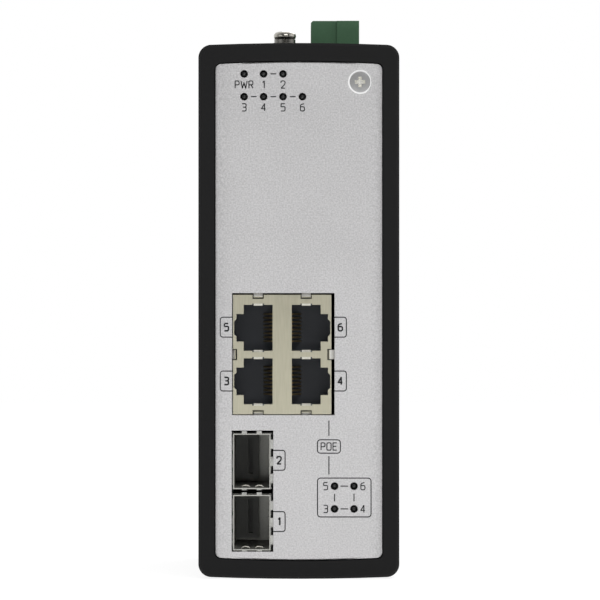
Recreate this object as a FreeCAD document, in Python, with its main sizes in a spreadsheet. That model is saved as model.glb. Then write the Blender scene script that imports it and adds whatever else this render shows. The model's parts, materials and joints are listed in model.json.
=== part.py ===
import FreeCAD, Part

import os
import re

import Sketcher
from FreeCAD import Placement, Rotation, Vector

# Industrial power over ethernet switch for a 35 mm rail.
# A ribbed aluminium tube holds two upright boards; a moulded bezel with a metal panel closes its front.
# Frame: X to the right seen from the front, Y from the front to the rail, Z up.
# The origin is at the bottom centre of the whole object's box.

# Driving dimensions, in millimetres.
SIZES = {
    # Front bezel: a moulded frame with bowed ends
    "bezel_width": 52.5,
    "bezel_height": 140.0,
    "bezel_depth": 9.0,
    "bezel_crown": 0.6,
    "bezel_corner": 3.4,
    "bezel_edge": 0.7,
    "bezel_overhang_side": 0.8,
    "bezel_overhang_end": 0.9,
    "rim_side": 4.25,
    "rim_end": 4.7,
    "ledge_width": 1.75,
    "ledge_thick": 1.6,
    "tongue_thick": 1.2,
    "tongue_reach": 4.0,
    "tongue_inset": 14.0,
    "tongue_clearance": 0.15,
    "bead_height": 0.4,
    "bead_width": 0.8,
    "bead_clearance": 0.15,
    # Front panel: a metal plate whose long sides roll back
    "panel_gap": 0.25,
    "panel_thick": 2.6,
    "panel_crown": 0.65,
    "panel_corner": 1.4,
    "panel_roll": 4.2,
    "panel_drop": 0.55,
    "panel_edge": 0.3,
    "hook_width": 6.0,
    "hook_thick": 1.2,
    "hook_clearance": 0.15,
    "hook_inset": 7.6,
    "panel_screw_inset_x": 5.75,
    "panel_screw_inset_z": 5.25,
    "screw_boss_radius": 3.0,
    "screw_boss_length": 5.0,
    # Sides given to small round forms that repeat
    "facet_count": 16,
    # Screws of the M3 size
    "screw_radius": 1.5,
    "screw_head_radius": 2.75,
    "screw_head_sink": 0.3,
    "pan_head_radius": 2.75,
    "pan_head_height": 1.7,
    "screw_length": 7.5,
    "screw_hole_radius": 1.7,
    "screw_fit": 0.05,
    "recess_length": 3.1,
    "recess_width": 0.75,
    "recess_depth": 1.1,
    # Extruded housing
    "housing_length": 92.0,
    "housing_corner": 2.6,
    "side_wall": 2.0,
    "end_wall": 2.6,
    "fin_depth": 2.0,
    "groove_mouth": 3.2,
    "groove_floor": 2.2,
    "groove_pitch": 5.2,
    "groove_margin": 9.0,
    "port_inset": 3.2,
    "guide_height": 2.9,
    "guide_rib": 1.2,
    "guide_clearance": 0.1,
    # Rear plate and rail clip
    "rear_thick": 2.2,
    "clip_width": 36.0,
    "clip_base": 3.0,
    "clip_centre_z": 76.0,
    "rail_height": 35.0,
    "rail_slot": 1.7,
    "rail_clearance": 0.5,
    "hook_lip": 2.6,
    "hook_wall": 3.0,
    "spring_room": 3.6,
    "spring_thick": 0.6,
    "spring_width": 1.4,
    "spring_span": 30.0,
    "spring_foot": 4.0,
    "spring_crest": 6.0,
    "clip_screw_spread": 20.0,
    # Boards
    "board_thick": 1.6,
    "board_setback": 10.0,
    "board_back_gap": 3.0,
    "board_top_gap": 0.6,
    "main_board_gap": 2.65,
    "power_board_gap": 2.55,
    "riser_thick": 1.6,
    "riser_height": 40.0,
    "riser_mid_z": 96.0,
    "riser_back_gap": 9.0,
    "socket_height": 5.5,
    "socket_depth": 5.0,
    "socket_floor": 2.5,
    "socket_end": 2.0,
    "socket_fit": 0.05,
    # Stacked jack of four ports, lying on its side
    "sheet_thick": 0.25,
    "jack_height": 25.7,
    "jack_span": 31.2,
    "jack_depth": 30.0,
    "jack_setback": 0.4,
    "jack_mid_z": 58.6,
    "jack_gap_near": 0.2,
    "jack_gap_far": 0.8,
    "jack_gap_top": 0.45,
    "port_pitch": 13.97,
    "port_width": 12.0,
    "port_height": 7.55,
    "port_margin": 2.8,
    "port_depth": 13.5,
    "latch_width": 7.2,
    "latch_depth": 1.9,
    "tip_width": 4.5,
    "tip_depth": 0.6,
    "finger_width": 2.4,
    "finger_dip": 0.45,
    "finger_reach": 6.0,
    "finger_root": 1.0,
    "notch_margin": 0.25,
    "notch_depth": 1.05,
    "finger_clearance": 0.05,
    "contact_count": 8,
    "contact_pitch": 1.02,
    "contact_width": 0.46,
    "contact_thick": 0.3,
    "contact_rise": 2.2,
    "contact_start": 7.0,
    # Pluggable optical module cages
    "cage_pitch": 16.0,
    "cage_width": 14.5,
    "cage_height": 9.8,
    "cage_length": 47.0,
    "cage_sheet": 0.3,
    "cage_setback": 0.4,
    "cage_mid_z": 22.7,
    "cage_gap_near": 0.3,
    "cage_gap_far": 0.7,
    "cage_gap_top": 0.8,
    "edge_socket_length": 8.5,
    "edge_socket_width": 11.8,
    "edge_socket_height": 6.4,
    "edge_socket_slot": 1.2,
    "edge_socket_slot_depth": 5.0,
    "edge_socket_slot_x": 4.2,
    "edge_socket_end": 1.3,
    "spring_band": 2.5,
    "spring_band_start": 5.0,
    "spring_clearance": 0.04,
    "spring_sheet": 0.15,
    "spring_end_tab": 1.3,
    "spring_end_pitch": 3.9,
    "spring_side_tab": 3.4,
    "spring_side_pitch": 4.5,
    # Indicator lamps
    "lamp_hole_radius": 1.0,
    "lamp_radius": 0.85,
    "lamp_recess": 0.9,
    "lamp_height": 2.9,
    "lamp_pitch": 5.08,
    "lamp_row_pitch": 5.95,
    "lamp_top_inset": 8.1,
    "lamp_lower_z": 24.25,
    "holder_front": 4.8,
    "holder_depth": 9.5,
    "holder_margin": 1.5,
    # Power inlet: header on the power board and the plug seated in it
    "pole_count": 4,
    "pole_pitch": 5.08,
    "terminal_setback": 20.0,
    "header_height": 8.5,
    "header_end": 1.2,
    "header_wall": 1.0,
    "header_floor": 1.5,
    "header_depth": 9.0,
    "header_leg": 3.0,
    "pin_width": 1.0,
    "pin_length": 6.0,
    "pin_drop": 1.4,
    "pin_tail": 1.2,
    "pin_clearance": 0.1,
    "plug_fit": 0.1,
    "plug_width": 12.8,
    "plug_standoff": 1.3,
    "plug_height": 10.8,
    "plug_nose": 7.2,
    "plug_step": 0.8,
    "plug_slope": 0.5,
    "plug_clamp_width": 5.9,
    "plug_opening_gap": 0.3,
    "wire_entry_width": 3.6,
    "wire_entry_length": 3.8,
    "wire_entry_depth": 8.0,
    "clamp_height": 4.5,
    "clamp_wall": 0.45,
    "clamp_screw_radius": 1.7,
    "clamp_screw_thick": 1.6,
    "clamp_screw_sink": 0.8,
    "clamp_shank_radius": 1.1,
    "clamp_slot_width": 0.5,
    "clamp_slot_depth": 0.7,
    # Ground stud on the top wall
    "ground_plug_gap": 3.3,
    "ground_setback": 15.0,
    "insert_flange_radius": 3.6,
    "insert_flange_thick": 0.9,
    "insert_radius": 2.5,
    "washer_radius": 3.5,
    "washer_thick": 0.7,
    "lock_washer_radius": 2.8,
    "lock_washer_thick": 1.0,
    "lock_washer_split": 0.5,
    "ground_head_radius": 2.95,
    "ground_head_height": 2.1,
    "ground_head_flat": 1.9,
    "ground_shank_length": 8.0,
    # Parts soldered to the boards
    "switch_chip_side": 14.0,
    "switch_chip_height": 1.4,
    "switch_chip_y": 8.0,
    "switch_chip_z": 104.0,
    "sink_side": 24.0,
    "sink_base": 2.0,
    "sink_fin_height": 6.0,
    "sink_fin_thick": 1.0,
    "sink_fin_pitch": 3.2,
    "sink_fin_count": 8,
    "flash_chip_length": 5.2,
    "flash_chip_width": 5.3,
    "flash_chip_height": 1.8,
    "flash_chip_y": 28.0,
    "flash_chip_z": 84.0,
    "crystal_length": 5.0,
    "crystal_width": 3.2,
    "crystal_height": 1.2,
    "crystal_y": -12.0,
    "crystal_z": 90.0,
    "pse_chip_side": 9.0,
    "pse_chip_height": 1.0,
    "pse_chip_y": -10.0,
    "pse_chip_z": 60.0,
    "coil_side": 7.3,
    "coil_height": 4.5,
    "coil_y": 2.0,
    "coil_first_z": 40.0,
    "coil_pitch": 11.0,
    "coil_count": 4,
    "capacitor_radius": 5.0,
    "capacitor_height": 14.0,
    "capacitor_y": 24.0,
    "capacitor_first_z": 22.0,
    "capacitor_pitch": 12.0,
    "capacitor_count": 3,
    "transformer_length": 20.0,
    "transformer_width": 16.0,
    "transformer_height": 11.0,
    "transformer_core": 5.0,
    "transformer_bobbin": 8.0,
    "transformer_y": 18.0,
    "transformer_z": 112.0,
    "choke_radius": 7.0,
    "choke_hole_radius": 2.6,
    "choke_height": 8.0,
    "choke_y": -8.0,
    "choke_z": 104.0,
}

# Places worked out from the driving dimensions; each may use the ones above it.
LAYOUT = {
    # Depth levels, from the bezel's face to the back of the rail clip
    "front": "-(bezel_depth + housing_length + rear_thick + clip_base + rail_slot + hook_lip)/2",
    "housing_front": "front + bezel_depth",
    "housing_back": "housing_front + housing_length",
    "rear_back": "housing_back + rear_thick",
    "rail_face": "rear_back + clip_base",
    "lip_face": "rail_face + rail_slot",
    "clip_back": "lip_face + hook_lip",
    "panel_back": "front + panel_thick",
    "ledge_back": "panel_back + ledge_thick",
    "countersink": "screw_head_radius + screw_head_sink - screw_hole_radius",
    # Outlines seen from the front
    "bezel_half": "bezel_width/2",
    "open_half": "bezel_half - rim_side",
    "open_low": "rim_end",
    "open_high": "bezel_height - rim_end",
    "panel_half": "open_half - panel_gap",
    "panel_low": "open_low + panel_gap",
    "panel_high": "open_high - panel_gap",
    "panel_screw_x": "panel_half - panel_screw_inset_x",
    "panel_screw_z": "panel_high - panel_screw_inset_z",
    "hook_x": "panel_half - hook_inset",
    "ledge_low": "open_low + ledge_width",
    "ledge_high": "open_high - ledge_width",
    "roll_start": "panel_half - panel_roll",
    "roll_radius": "(panel_roll^2 + panel_drop^2)/(2*panel_drop)",
    "roll_bulge": "roll_radius*(1 - panel_roll/sqrt(panel_roll^2 + panel_drop^2))",
    "housing_half": "bezel_half - bezel_overhang_side",
    "housing_low": "bezel_overhang_end",
    "housing_high": "bezel_height - bezel_overhang_end",
    "cavity_half": "housing_half - fin_depth - side_wall",
    "cavity_low": "housing_low + end_wall",
    "cavity_high": "housing_high - end_wall",
    "port_x": "housing_half - port_inset",
    "port_low": "housing_low + port_inset",
    "port_high": "housing_high - port_inset",
    "tongue_outer": "cavity_half - tongue_clearance",
    "tongue_inner": "tongue_outer - tongue_thick",
    "ledge_half": "tongue_inner",
    "tongue_low": "cavity_low + tongue_inset",
    "tongue_high": "cavity_high - tongue_inset",
    "tongue_end": "housing_front + tongue_reach",
    "bead_end": "tongue_end - bead_width",
    "bead_start": "bead_end - bead_width",
    "groove_count": "floor((housing_high - housing_low - 2*groove_margin)/groove_pitch) + 1",
    "groove_first_z": "bezel_height/2 - (groove_count - 1)*groove_pitch/2",
    # Boards
    "main_back": "-(cavity_half - main_board_gap)",
    "main_face": "main_back + board_thick",
    "power_back": "cavity_half - power_board_gap",
    "power_face": "power_back - board_thick",
    "board_front": "front + board_setback",
    "board_end": "housing_back - board_back_gap",
    "board_high": "cavity_high - board_top_gap",
    "guide_low": "cavity_low + guide_height",
    "guide_high": "cavity_high - guide_height",
    "riser_back": "housing_back - riser_back_gap",
    "riser_front": "riser_back - riser_thick",
    "riser_low": "riser_mid_z - riser_height/2",
    "riser_high": "riser_mid_z + riser_height/2",
    # Stacked jack
    "jack_front": "front + jack_setback",
    "jack_back": "jack_front + jack_depth",
    "jack_left": "main_face",
    "jack_right": "jack_left + jack_height",
    "jack_low": "jack_mid_z - jack_span/2",
    "jack_high": "jack_mid_z + jack_span/2",
    "body_front": "jack_front + sheet_thick",
    "port_back": "body_front + port_depth",
    "near_port_inner": "jack_left + port_margin + port_height",
    "near_port_outer": "jack_left + port_margin",
    "far_port_inner": "jack_right - port_margin - port_height",
    "far_port_outer": "jack_right - port_margin",
    "near_port_mid": "near_port_outer + port_height/2",
    "far_port_mid": "far_port_outer - port_height/2",
    "upper_port_z": "jack_mid_z + port_pitch/2",
    "lower_port_z": "jack_mid_z - port_pitch/2",
    # Module cages
    "cage_front": "front + cage_setback",
    "cage_back": "cage_front + cage_length",
    "cage_left": "main_face",
    "cage_right": "cage_left + cage_height",
    "upper_cage_z": "cage_mid_z + cage_pitch/2",
    "lower_cage_z": "cage_mid_z - cage_pitch/2",
    # Lamps
    "lamp_front": "front + lamp_recess",
    "holder_face": "front + holder_front",
    "holder_end": "holder_face + holder_depth",
    "lamp_upper_z": "bezel_height - lamp_top_inset",
    "main_lamp_x": "main_face + lamp_height",
    "power_lamp_x": "power_face - lamp_height",
    # Power inlet
    "header_front": "front + terminal_setback",
    "header_length": "pole_count*pole_pitch + 2*header_end",
    "header_back": "header_front + header_length",
    "header_left": "power_face - header_height",
    "header_high": "cavity_high - plug_opening_gap",
    "header_mouth_low": "header_high - header_depth",
    "header_low": "header_mouth_low - header_floor",
    "header_mouth_left": "header_left + header_wall",
    "header_mouth_right": "power_face - header_wall",
    "first_pole_y": "header_front + header_end + pole_pitch/2",
    "pin_x": "(header_mouth_left + header_mouth_right)/2",
    "plug_right": "power_face - plug_standoff",
    "plug_left": "plug_right - plug_width",
    "plug_split": "plug_right - plug_clamp_width",
    "plug_high": "header_high + plug_height",
    "plug_front": "header_front + header_end - plug_step",
    "plug_back": "header_back - header_end + plug_step",
    "wire_x": "plug_right - plug_clamp_width/2",
    "wire_floor": "plug_high - wire_entry_depth",
    "clamp_screw_z": "wire_floor + clamp_height/2",
    "clamp_left": "wire_x - wire_entry_width/2",
    # Ground stud
    "ground_x": "plug_left - ground_plug_gap - insert_flange_radius",
    "ground_y": "front + ground_setback",
    "insert_high": "housing_high + insert_flange_thick",
    "washer_high": "insert_high + washer_thick",
    "lock_washer_high": "washer_high + lock_washer_thick",
    "ground_head_high": "lock_washer_high + ground_head_height",
    # Rail clip, from its lower wall to its upper hook
    "rail_low": "clip_centre_z - rail_height/2",
    "rail_high": "clip_centre_z + rail_height/2",
    "slot_low": "rail_low - spring_room",
    "slot_high": "rail_high + rail_clearance",
    "clip_low": "slot_low - hook_wall",
    "clip_screw_seat": "rail_face - screw_head_sink - pan_head_height",
    "clip_high": "slot_high + hook_wall",
    "lip_low": "rail_low + hook_lip",
    "lip_high": "rail_high - hook_lip",
}

doc = FreeCAD.newDocument("PoeSwitch")
dims = doc.addObject("Spreadsheet::Sheet", "Dims")
layout = doc.addObject("Spreadsheet::Sheet", "Layout")
for row, (alias, number) in enumerate(SIZES.items(), 1):
    dims.set(f"A{row}", alias)
    dims.set(f"B{row}", str(number))
    dims.setAlias(f"B{row}", alias)

NAME = re.compile(r"[a-z_][a-z_0-9]*")


def full(formula):
    """The formula with every size and place named by its sheet."""

    def sheet_name(word):
        name = word.group()
        return f"Dims.{name}" if name in SIZES else f"Layout.{name}" if name in LAYOUT else name

    return NAME.sub(sheet_name, formula)


for row, (alias, formula) in enumerate(LAYOUT.items(), 1):
    layout.set(f"A{row}", alias)
    layout.set(f"B{row}", "=" + full(formula).replace("Layout.", ""))
    layout.setAlias(f"B{row}", alias)
doc.recompute()

nodes = []


def value(formula):
    """What the formula comes to at the present sizes."""
    return float(dims.evalExpression(full(formula)))


def node(label, shape):
    """Marks a document object as one sub-part, whose label names its file."""
    shape.Label = label
    nodes.append(shape)
    return shape


def bind(target, prop, formula):
    target.setExpression(prop, full(formula))


# Outlines: each returns a function that draws a closed, fully bound loop in a sketch.
def outline(*corners):
    """Loop through (u, v) corners; a third entry is how far the side after that corner bows to its right."""

    def draw(sketch):
        places = [Vector(value(corner[0]), value(corner[1]), 0) for corner in corners]
        ends = []
        for i, corner in enumerate(corners):
            start = places[i]
            stop = places[(i + 1) % len(corners)]
            if len(corner) == 2:
                side = sketch.addGeometry(Part.LineSegment(start, stop), False)
            else:
                along = (stop - start).normalize()
                middle = (start + stop) / 2 + Vector(along.y, -along.x, 0) * value(corner[2])
                side = sketch.addGeometry(Part.Arc(start, middle, stop), False)
            forward = sketch.Geometry[side].StartPoint.isEqual(start, 1e-6)
            ends.append((side, 1, 2) if forward else (side, 2, 1))
        for i, (side, first, last) in enumerate(ends):
            after = ends[(i + 1) % len(ends)]
            sketch.addConstraint(Sketcher.Constraint("Coincident", side, last, after[0], after[1]))
            for kind, formula, at in zip(("DistanceX", "DistanceY"), corners[i], places[i]):
                number = sketch.addConstraint(Sketcher.Constraint(kind, -1, 1, side, first, at))
                bind(sketch, f"Constraints[{number}]", formula)
            if len(corners[i]) == 3:
                bind_bow(sketch, side, corners[i], corners[(i + 1) % len(corners)])

    return draw


def bind_bow(sketch, side, start, stop):
    """Ties a bowed side's radius to its two ends and its bow."""
    chord = f"((({stop[0]}) - ({start[0]}))^2 + (({stop[1]}) - ({start[1]}))^2)"
    radius = f"{chord}/(8*abs({start[2]})) + abs({start[2]})/2"
    number = sketch.addConstraint(Sketcher.Constraint("Radius", side, value(radius)))
    bind(sketch, f"Constraints[{number}]", radius)


def rectangle(left, right, low, high):
    return outline((left, low), (right, low), (right, high), (left, high))


def bowed_frame(half, low, high, crown):
    """Rectangle whose two ends bow outwards to reach low and high at the middle."""
    return outline(
        (f"-({half})", f"{low} + {crown}", crown),
        (half, f"{low} + {crown}"),
        (half, f"{high} - {crown}", crown),
        (f"-({half})", f"{high} - {crown}"),
    )


def disc(u, v, radius):
    def draw(sketch):
        centre = Vector(value(u), value(v), 0)
        ring = sketch.addGeometry(Part.Circle(centre, Vector(0, 0, 1), value(radius)), False)
        for kind, formula, at in (("DistanceX", u, centre.x), ("DistanceY", v, centre.y)):
            number = sketch.addConstraint(Sketcher.Constraint(kind, -1, 1, ring, 3, at))
            bind(sketch, f"Constraints[{number}]", formula)
        number = sketch.addConstraint(Sketcher.Constraint("Radius", ring, value(radius)))
        bind(sketch, f"Constraints[{number}]", radius)

    return draw


def polygon(u, v, radius, sides="facet_count"):
    """Regular loop round a centre, for a small round form with few faces."""
    corners = []
    for i in range(round(value(sides))):
        turn = f"{i}*360/({sides})"
        corners.append((f"{u} + ({radius})*cos({turn})", f"{v} + ({radius})*sin({turn})"))
    return outline(*corners)


# Bodies: outlines seen from the front (X, Z), side (Y, Z) or top (X, Y), filled or cut between two levels.
PLANES = {"front": "XZ_Plane", "side": "YZ_Plane", "top": "XY_Plane"}


def new_body(label):
    return node(label, doc.addObject("PartDesign::Body", label))


def new_sketch(body, view, level, draws):
    sketch = body.newObject("Sketcher::SketchObject", "sketch")
    plane = next(f for f in body.Origin.OriginFeatures if f.Role == PLANES[view])
    sketch.AttachmentSupport = [(plane, "")]
    sketch.MapMode = "FlatFace"
    # The front view's plane faces -Y, so its offset counts the other way.
    bind(sketch, "AttachmentOffset.Base.z", f"-({level})" if view == "front" else level)
    for draw in draws:
        draw(sketch)
    return sketch


def build(body, kind, view, low, high, draws):
    """Pads or pockets the drawn loops between two levels of the axis that the view looks along."""
    before = body.Shape.Volume if body.Tip else 0.0
    from_high = (view == "front") == (kind == "Pad")
    sketch = new_sketch(body, view, high if from_high else low, draws)
    feature = body.newObject(f"PartDesign::{kind}", kind.lower())
    feature.Profile = sketch
    bind(feature, "Length", f"({high}) - ({low})")
    doc.recompute()
    grown = body.Shape.Volume - before
    if (grown if kind == "Pad" else -grown) < 1e-6:
        raise RuntimeError(f"{body.Label}: a {kind} from {low} to {high} changed nothing")
    return feature


def fill(body, view, low, high, *draws):
    return build(body, "Pad", view, low, high, draws)


def carve(body, view, low, high, *draws):
    return build(body, "Pocket", view, low, high, draws)


def dress(body, kind, prop, size, wanted):
    """Fillets or chamfers the edges that the test wants."""
    base = body.Tip
    names = [f"Edge{i}" for i, edge in enumerate(base.Shape.Edges, 1) if wanted(edge)]
    feature = body.newObject(f"PartDesign::{kind}", kind.lower())
    feature.Base = (base, names)
    bind(feature, prop, size)
    doc.recompute()
    return feature


def round_edges(body, radius, wanted):
    return dress(body, "Fillet", "Radius", radius, wanted)


def repeat(body, feature, direction, pitch, count):
    """Repeats a feature along its own sketch's H or V axis."""
    pattern = body.newObject("PartDesign::LinearPattern", "pattern")
    pattern.Originals = [feature]
    pattern.Direction = (feature.Profile[0], [f"{direction}_Axis"])
    bind(pattern, "Length", f"({count} - 1)*{pitch}")
    bind(pattern, "Occurrences", count)
    body.Tip = pattern
    doc.recompute()
    return pattern


def runs_along(axis):
    """Test for a straight edge along Vector axis."""
    return lambda edge: isinstance(edge.Curve, Part.Line) and abs(edge.Curve.Direction.dot(axis)) > 0.999


def lies_at_front(edge):
    return all(abs(corner.Point.y - value("front")) < 1e-4 for corner in edge.Vertexes)


def rim_at(y, radius):
    """Test for a full circle of that radius at depth y."""

    def test(edge):
        circle = edge.Curve
        return (
            isinstance(circle, Part.Circle)
            and abs(circle.Radius - value(radius)) < 1e-4
            and abs(circle.Center.y - value(y)) < 1e-4
        )

    return test


# Plain solids and what joins them
TURN = {"x": Rotation(Vector(0, 1, 0), 90), "y": Rotation(Vector(1, 0, 0), -90), "z": Rotation()}


def block(x, y, z):
    """Box that fills three (low, high) spans."""
    box = doc.addObject("Part::Box", "block")
    for side, axis, (low, high) in zip(("Length", "Width", "Height"), "xyz", (x, y, z)):
        bind(box, side, f"({high}) - ({low})")
        bind(box, f"Placement.Base.{axis}", low)
    return box


def turned(kind, axis, along, centre, **sizes):
    """Solid about one axis: along is its (low, high) span, centre its other two coordinates."""
    low, high = along
    shape = doc.addObject(f"Part::{kind}", kind.lower())
    shape.Placement = Placement(Vector(), TURN[axis])
    bind(shape, "Height", f"({high}) - ({low})")
    bind(shape, f"Placement.Base.{axis}", low)
    for other, place in zip("xyz".replace(axis, ""), centre):
        bind(shape, f"Placement.Base.{other}", place)
    for prop, formula in sizes.items():
        bind(shape, prop, formula)
    return shape


def rod(axis, along, centre, radius):
    return turned("Cylinder", axis, along, centre, Radius=radius)


def prism(axis, along, centre, radius, sides="facet_count"):
    """Rod with flat sides, for a small round form with few faces."""
    shape = turned("Prism", axis, along, centre, Circumradius=radius)
    bind(shape, "Polygon", sides)
    return shape


def cone(axis, along, centre, start, end):
    return turned("Cone", axis, along, centre, Radius1=start, Radius2=end)


def fuse(*shapes):
    joined = doc.addObject("Part::MultiFuse", "fuse")
    joined.Shapes = list(shapes)
    joined.Refine = True
    return joined


def cut(base, *tools):
    result = doc.addObject("Part::Cut", "cut")
    result.Base = base
    result.Tool = tools[0] if len(tools) == 1 else fuse(*tools)
    result.Refine = True
    return result


def group(*shapes):
    """Separate solids that share one node."""
    together = doc.addObject("Part::Compound", "group")
    together.Links = list(shapes)
    return together


def both_sides(low, high):
    """The span on the right and its mirror image on the left."""
    return (low, high), (f"-({high})", f"-({low})")


def around(middle, size):
    """Span of that size with its middle there."""
    return (f"{middle} - ({size})/2", f"{middle} + ({size})/2")


X_AXIS = Vector(1, 0, 0)
Y_AXIS = Vector(0, 1, 0)
Z_AXIS = Vector(0, 0, 1)
PORT_ROWS = ("upper_port_z", "lower_port_z")
CAGES = {"1": "lower_cage_z", "2": "upper_cage_z"}
HEXAGON = "6"
# Lamps in rows: their names from the left, the first one's X and the row's Z
LAMP_ROWS = (
    (("power", "link_1", "link_2"), "main_lamp_x", "lamp_upper_z"),
    (("link_3", "link_4", "link_5", "link_6"), "main_lamp_x", "lamp_upper_z - lamp_row_pitch"),
    (("feed_5", "feed_6"), "power_lamp_x - lamp_pitch", "lamp_lower_z"),
    (("feed_3", "feed_4"), "power_lamp_x - lamp_pitch", "lamp_lower_z - lamp_row_pitch"),
)


# Front bezel and panel
def make_front_bezel():
    bezel = new_body("front_bezel")
    depth = ("front", "housing_front")
    fill(bezel, "front", *depth, bowed_frame("bezel_half", "0", "bezel_height", "bezel_crown"))
    round_edges(bezel, "bezel_corner", runs_along(Y_AXIS))
    dress(bezel, "Chamfer", "Size", "bezel_edge", lies_at_front)
    carve(bezel, "front", *depth, bowed_frame("open_half", "open_low", "open_high", "panel_crown"))
    inside = value("open_half") + value("rim_side") / 2
    round_edges(
        bezel,
        "panel_corner + panel_gap",
        lambda edge: runs_along(Y_AXIS)(edge) and abs(edge.Vertexes[0].X) < inside,
    )
    # The ledge that the panel rests on, its corner web for the panel screw, and that screw's boss
    in_rim = "rim_side/2"
    fill(
        bezel,
        "front",
        "panel_back",
        "ledge_back",
        rectangle(
            f"-(open_half + {in_rim})",
            f"open_half + {in_rim}",
            "open_low - rim_end/2",
            "open_high + rim_end/2",
        ),
        rectangle("-ledge_half", "ledge_half", "ledge_low", "ledge_high"),
    )
    fill(
        bezel,
        "front",
        "panel_back",
        "ledge_back",
        rectangle(
            "panel_screw_x - screw_boss_radius",
            f"open_half + {in_rim}",
            "panel_screw_z - screw_boss_radius",
            "open_high + rim_end/2",
        ),
    )
    boss_end = "ledge_back + screw_boss_length"
    boss = ("panel_screw_x", "panel_screw_z")
    fill(bezel, "front", "ledge_back", boss_end, polygon(*boss, "screw_boss_radius"))
    carve(bezel, "front", "panel_back", boss_end, polygon(*boss, "screw_radius + screw_fit"))
    # Two tongues that slide into the housing, each with a snap bead
    for left, right in both_sides("tongue_inner", "tongue_outer"):
        fill(bezel, "front", "panel_back", "tongue_end", rectangle(left, right, "tongue_low", "tongue_high"))
    for left, right in both_sides("tongue_outer", "tongue_outer + bead_height"):
        fill(bezel, "front", "bead_start", "bead_end", rectangle(left, right, "tongue_low", "tongue_high"))


def jack_cutout():
    return rectangle(
        "jack_left - jack_gap_near",
        "jack_right + jack_gap_far",
        "jack_low - jack_gap_near",
        "jack_high + jack_gap_top",
    )


def cage_cutout():
    return rectangle(
        "cage_left - cage_gap_near",
        "cage_right + cage_gap_far",
        "lower_cage_z - cage_width/2 - cage_gap_near",
        "upper_cage_z + cage_width/2 + cage_gap_top",
    )


def lamp_places():
    """Every lamp by name, with its X and Z."""
    places = {}
    for names, first_x, z in LAMP_ROWS:
        for i, name in enumerate(names):
            places[f"lamp_{name}"] = (f"{first_x} + {i}*lamp_pitch", z)
    return places


def make_front_panel():
    panel = new_body("front_panel")
    depth = ("front", "panel_back")
    fill(panel, "front", *depth, bowed_frame("panel_half", "panel_low", "panel_high", "panel_crown"))
    round_edges(panel, "panel_corner", runs_along(Y_AXIS))
    dress(panel, "Chamfer", "Size", "panel_edge", lies_at_front)
    screw_hole = disc("panel_screw_x", "panel_screw_z", "screw_hole_radius")
    carve(panel, "front", *depth, jack_cutout(), cage_cutout(), screw_hole)
    dress(panel, "Chamfer", "Size", "countersink", rim_at("front", "screw_hole_radius"))
    for names, first_x, z in LAMP_ROWS:
        lamp_hole = carve(panel, "front", *depth, polygon(first_x, z, "lamp_hole_radius"))
        repeat(panel, lamp_hole, "H", "lamp_pitch", str(len(names)))
    # The long sides roll back in a wide, shallow arc
    beyond = "panel_half + panel_roll"
    before = "front - panel_roll"
    carve(
        panel,
        "top",
        "panel_low - panel_roll",
        "panel_high + panel_roll",
        outline(
            ("roll_start", before),
            (beyond, before),
            (beyond, "front + panel_drop"),
            ("panel_half", "front + panel_drop", "roll_bulge"),
            ("roll_start", "front"),
        ),
        outline(
            (f"-({beyond})", before),
            ("-roll_start", before),
            ("-roll_start", "front", "roll_bulge"),
            ("-panel_half", "front + panel_drop"),
            (f"-({beyond})", "front + panel_drop"),
        ),
    )
    # Hooks that reach through the ledge and catch behind it
    reach = "ledge_back + hook_clearance + hook_thick"
    root = "ledge_low + hook_clearance"
    for middle in ("0", "hook_x"):
        left, right = around(middle, "hook_width")
        fill(panel, "front", "panel_back", reach, rectangle(left, right, root, f"{root} + hook_thick"))
        fill(
            panel,
            "front",
            "ledge_back + hook_clearance",
            reach,
            rectangle(left, right, "open_low + panel_crown + hook_clearance", f"{root} + hook_thick"),
        )


def cross_recess(axis, along, centre):
    """Two crossed bars that cut a screw's drive."""
    bars = []
    for sizes in (("recess_length", "recess_width"), ("recess_width", "recess_length")):
        others = "xyz".replace(axis, "")
        spans = {other: around(place, size) for other, place, size in zip(others, centre, sizes)}
        spans[axis] = along
        bars.append(block(spans["x"], spans["y"], spans["z"]))
    return bars


def pan_screw(x, seat, z):
    """M3 pan-head screw that points to the front, with its head on the seat."""
    top = f"{seat} + pan_head_height"
    head = prism("y", (seat, top), (x, z), "pan_head_radius")
    shank = prism("y", (f"{seat} - screw_length", seat), (x, z), "screw_radius")
    return cut(fuse(head, shank), *cross_recess("y", (f"{top} - recess_depth", top), (x, z)))


def make_panel_screw():
    """M3 flat-head screw, sunk below the panel's face."""
    axis = ("panel_screw_x", "panel_screw_z")
    head = "front + screw_head_sink"
    under = f"{head} + screw_head_radius - screw_radius"
    cap = cone("y", (head, under), axis, "screw_head_radius", "screw_radius")
    shank = rod("y", (under, f"{head} + screw_length"), axis, "screw_radius")
    drive = cross_recess("y", (head, f"{head} + recess_depth"), axis)
    node("panel_screw", cut(fuse(cap, shank), *drive))


# Housing
def corner_places():
    """The four screw ports in the corners, with their X and Z."""
    return [(x, z) for x in ("-port_x", "port_x") for z in ("port_low", "port_high")]


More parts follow.
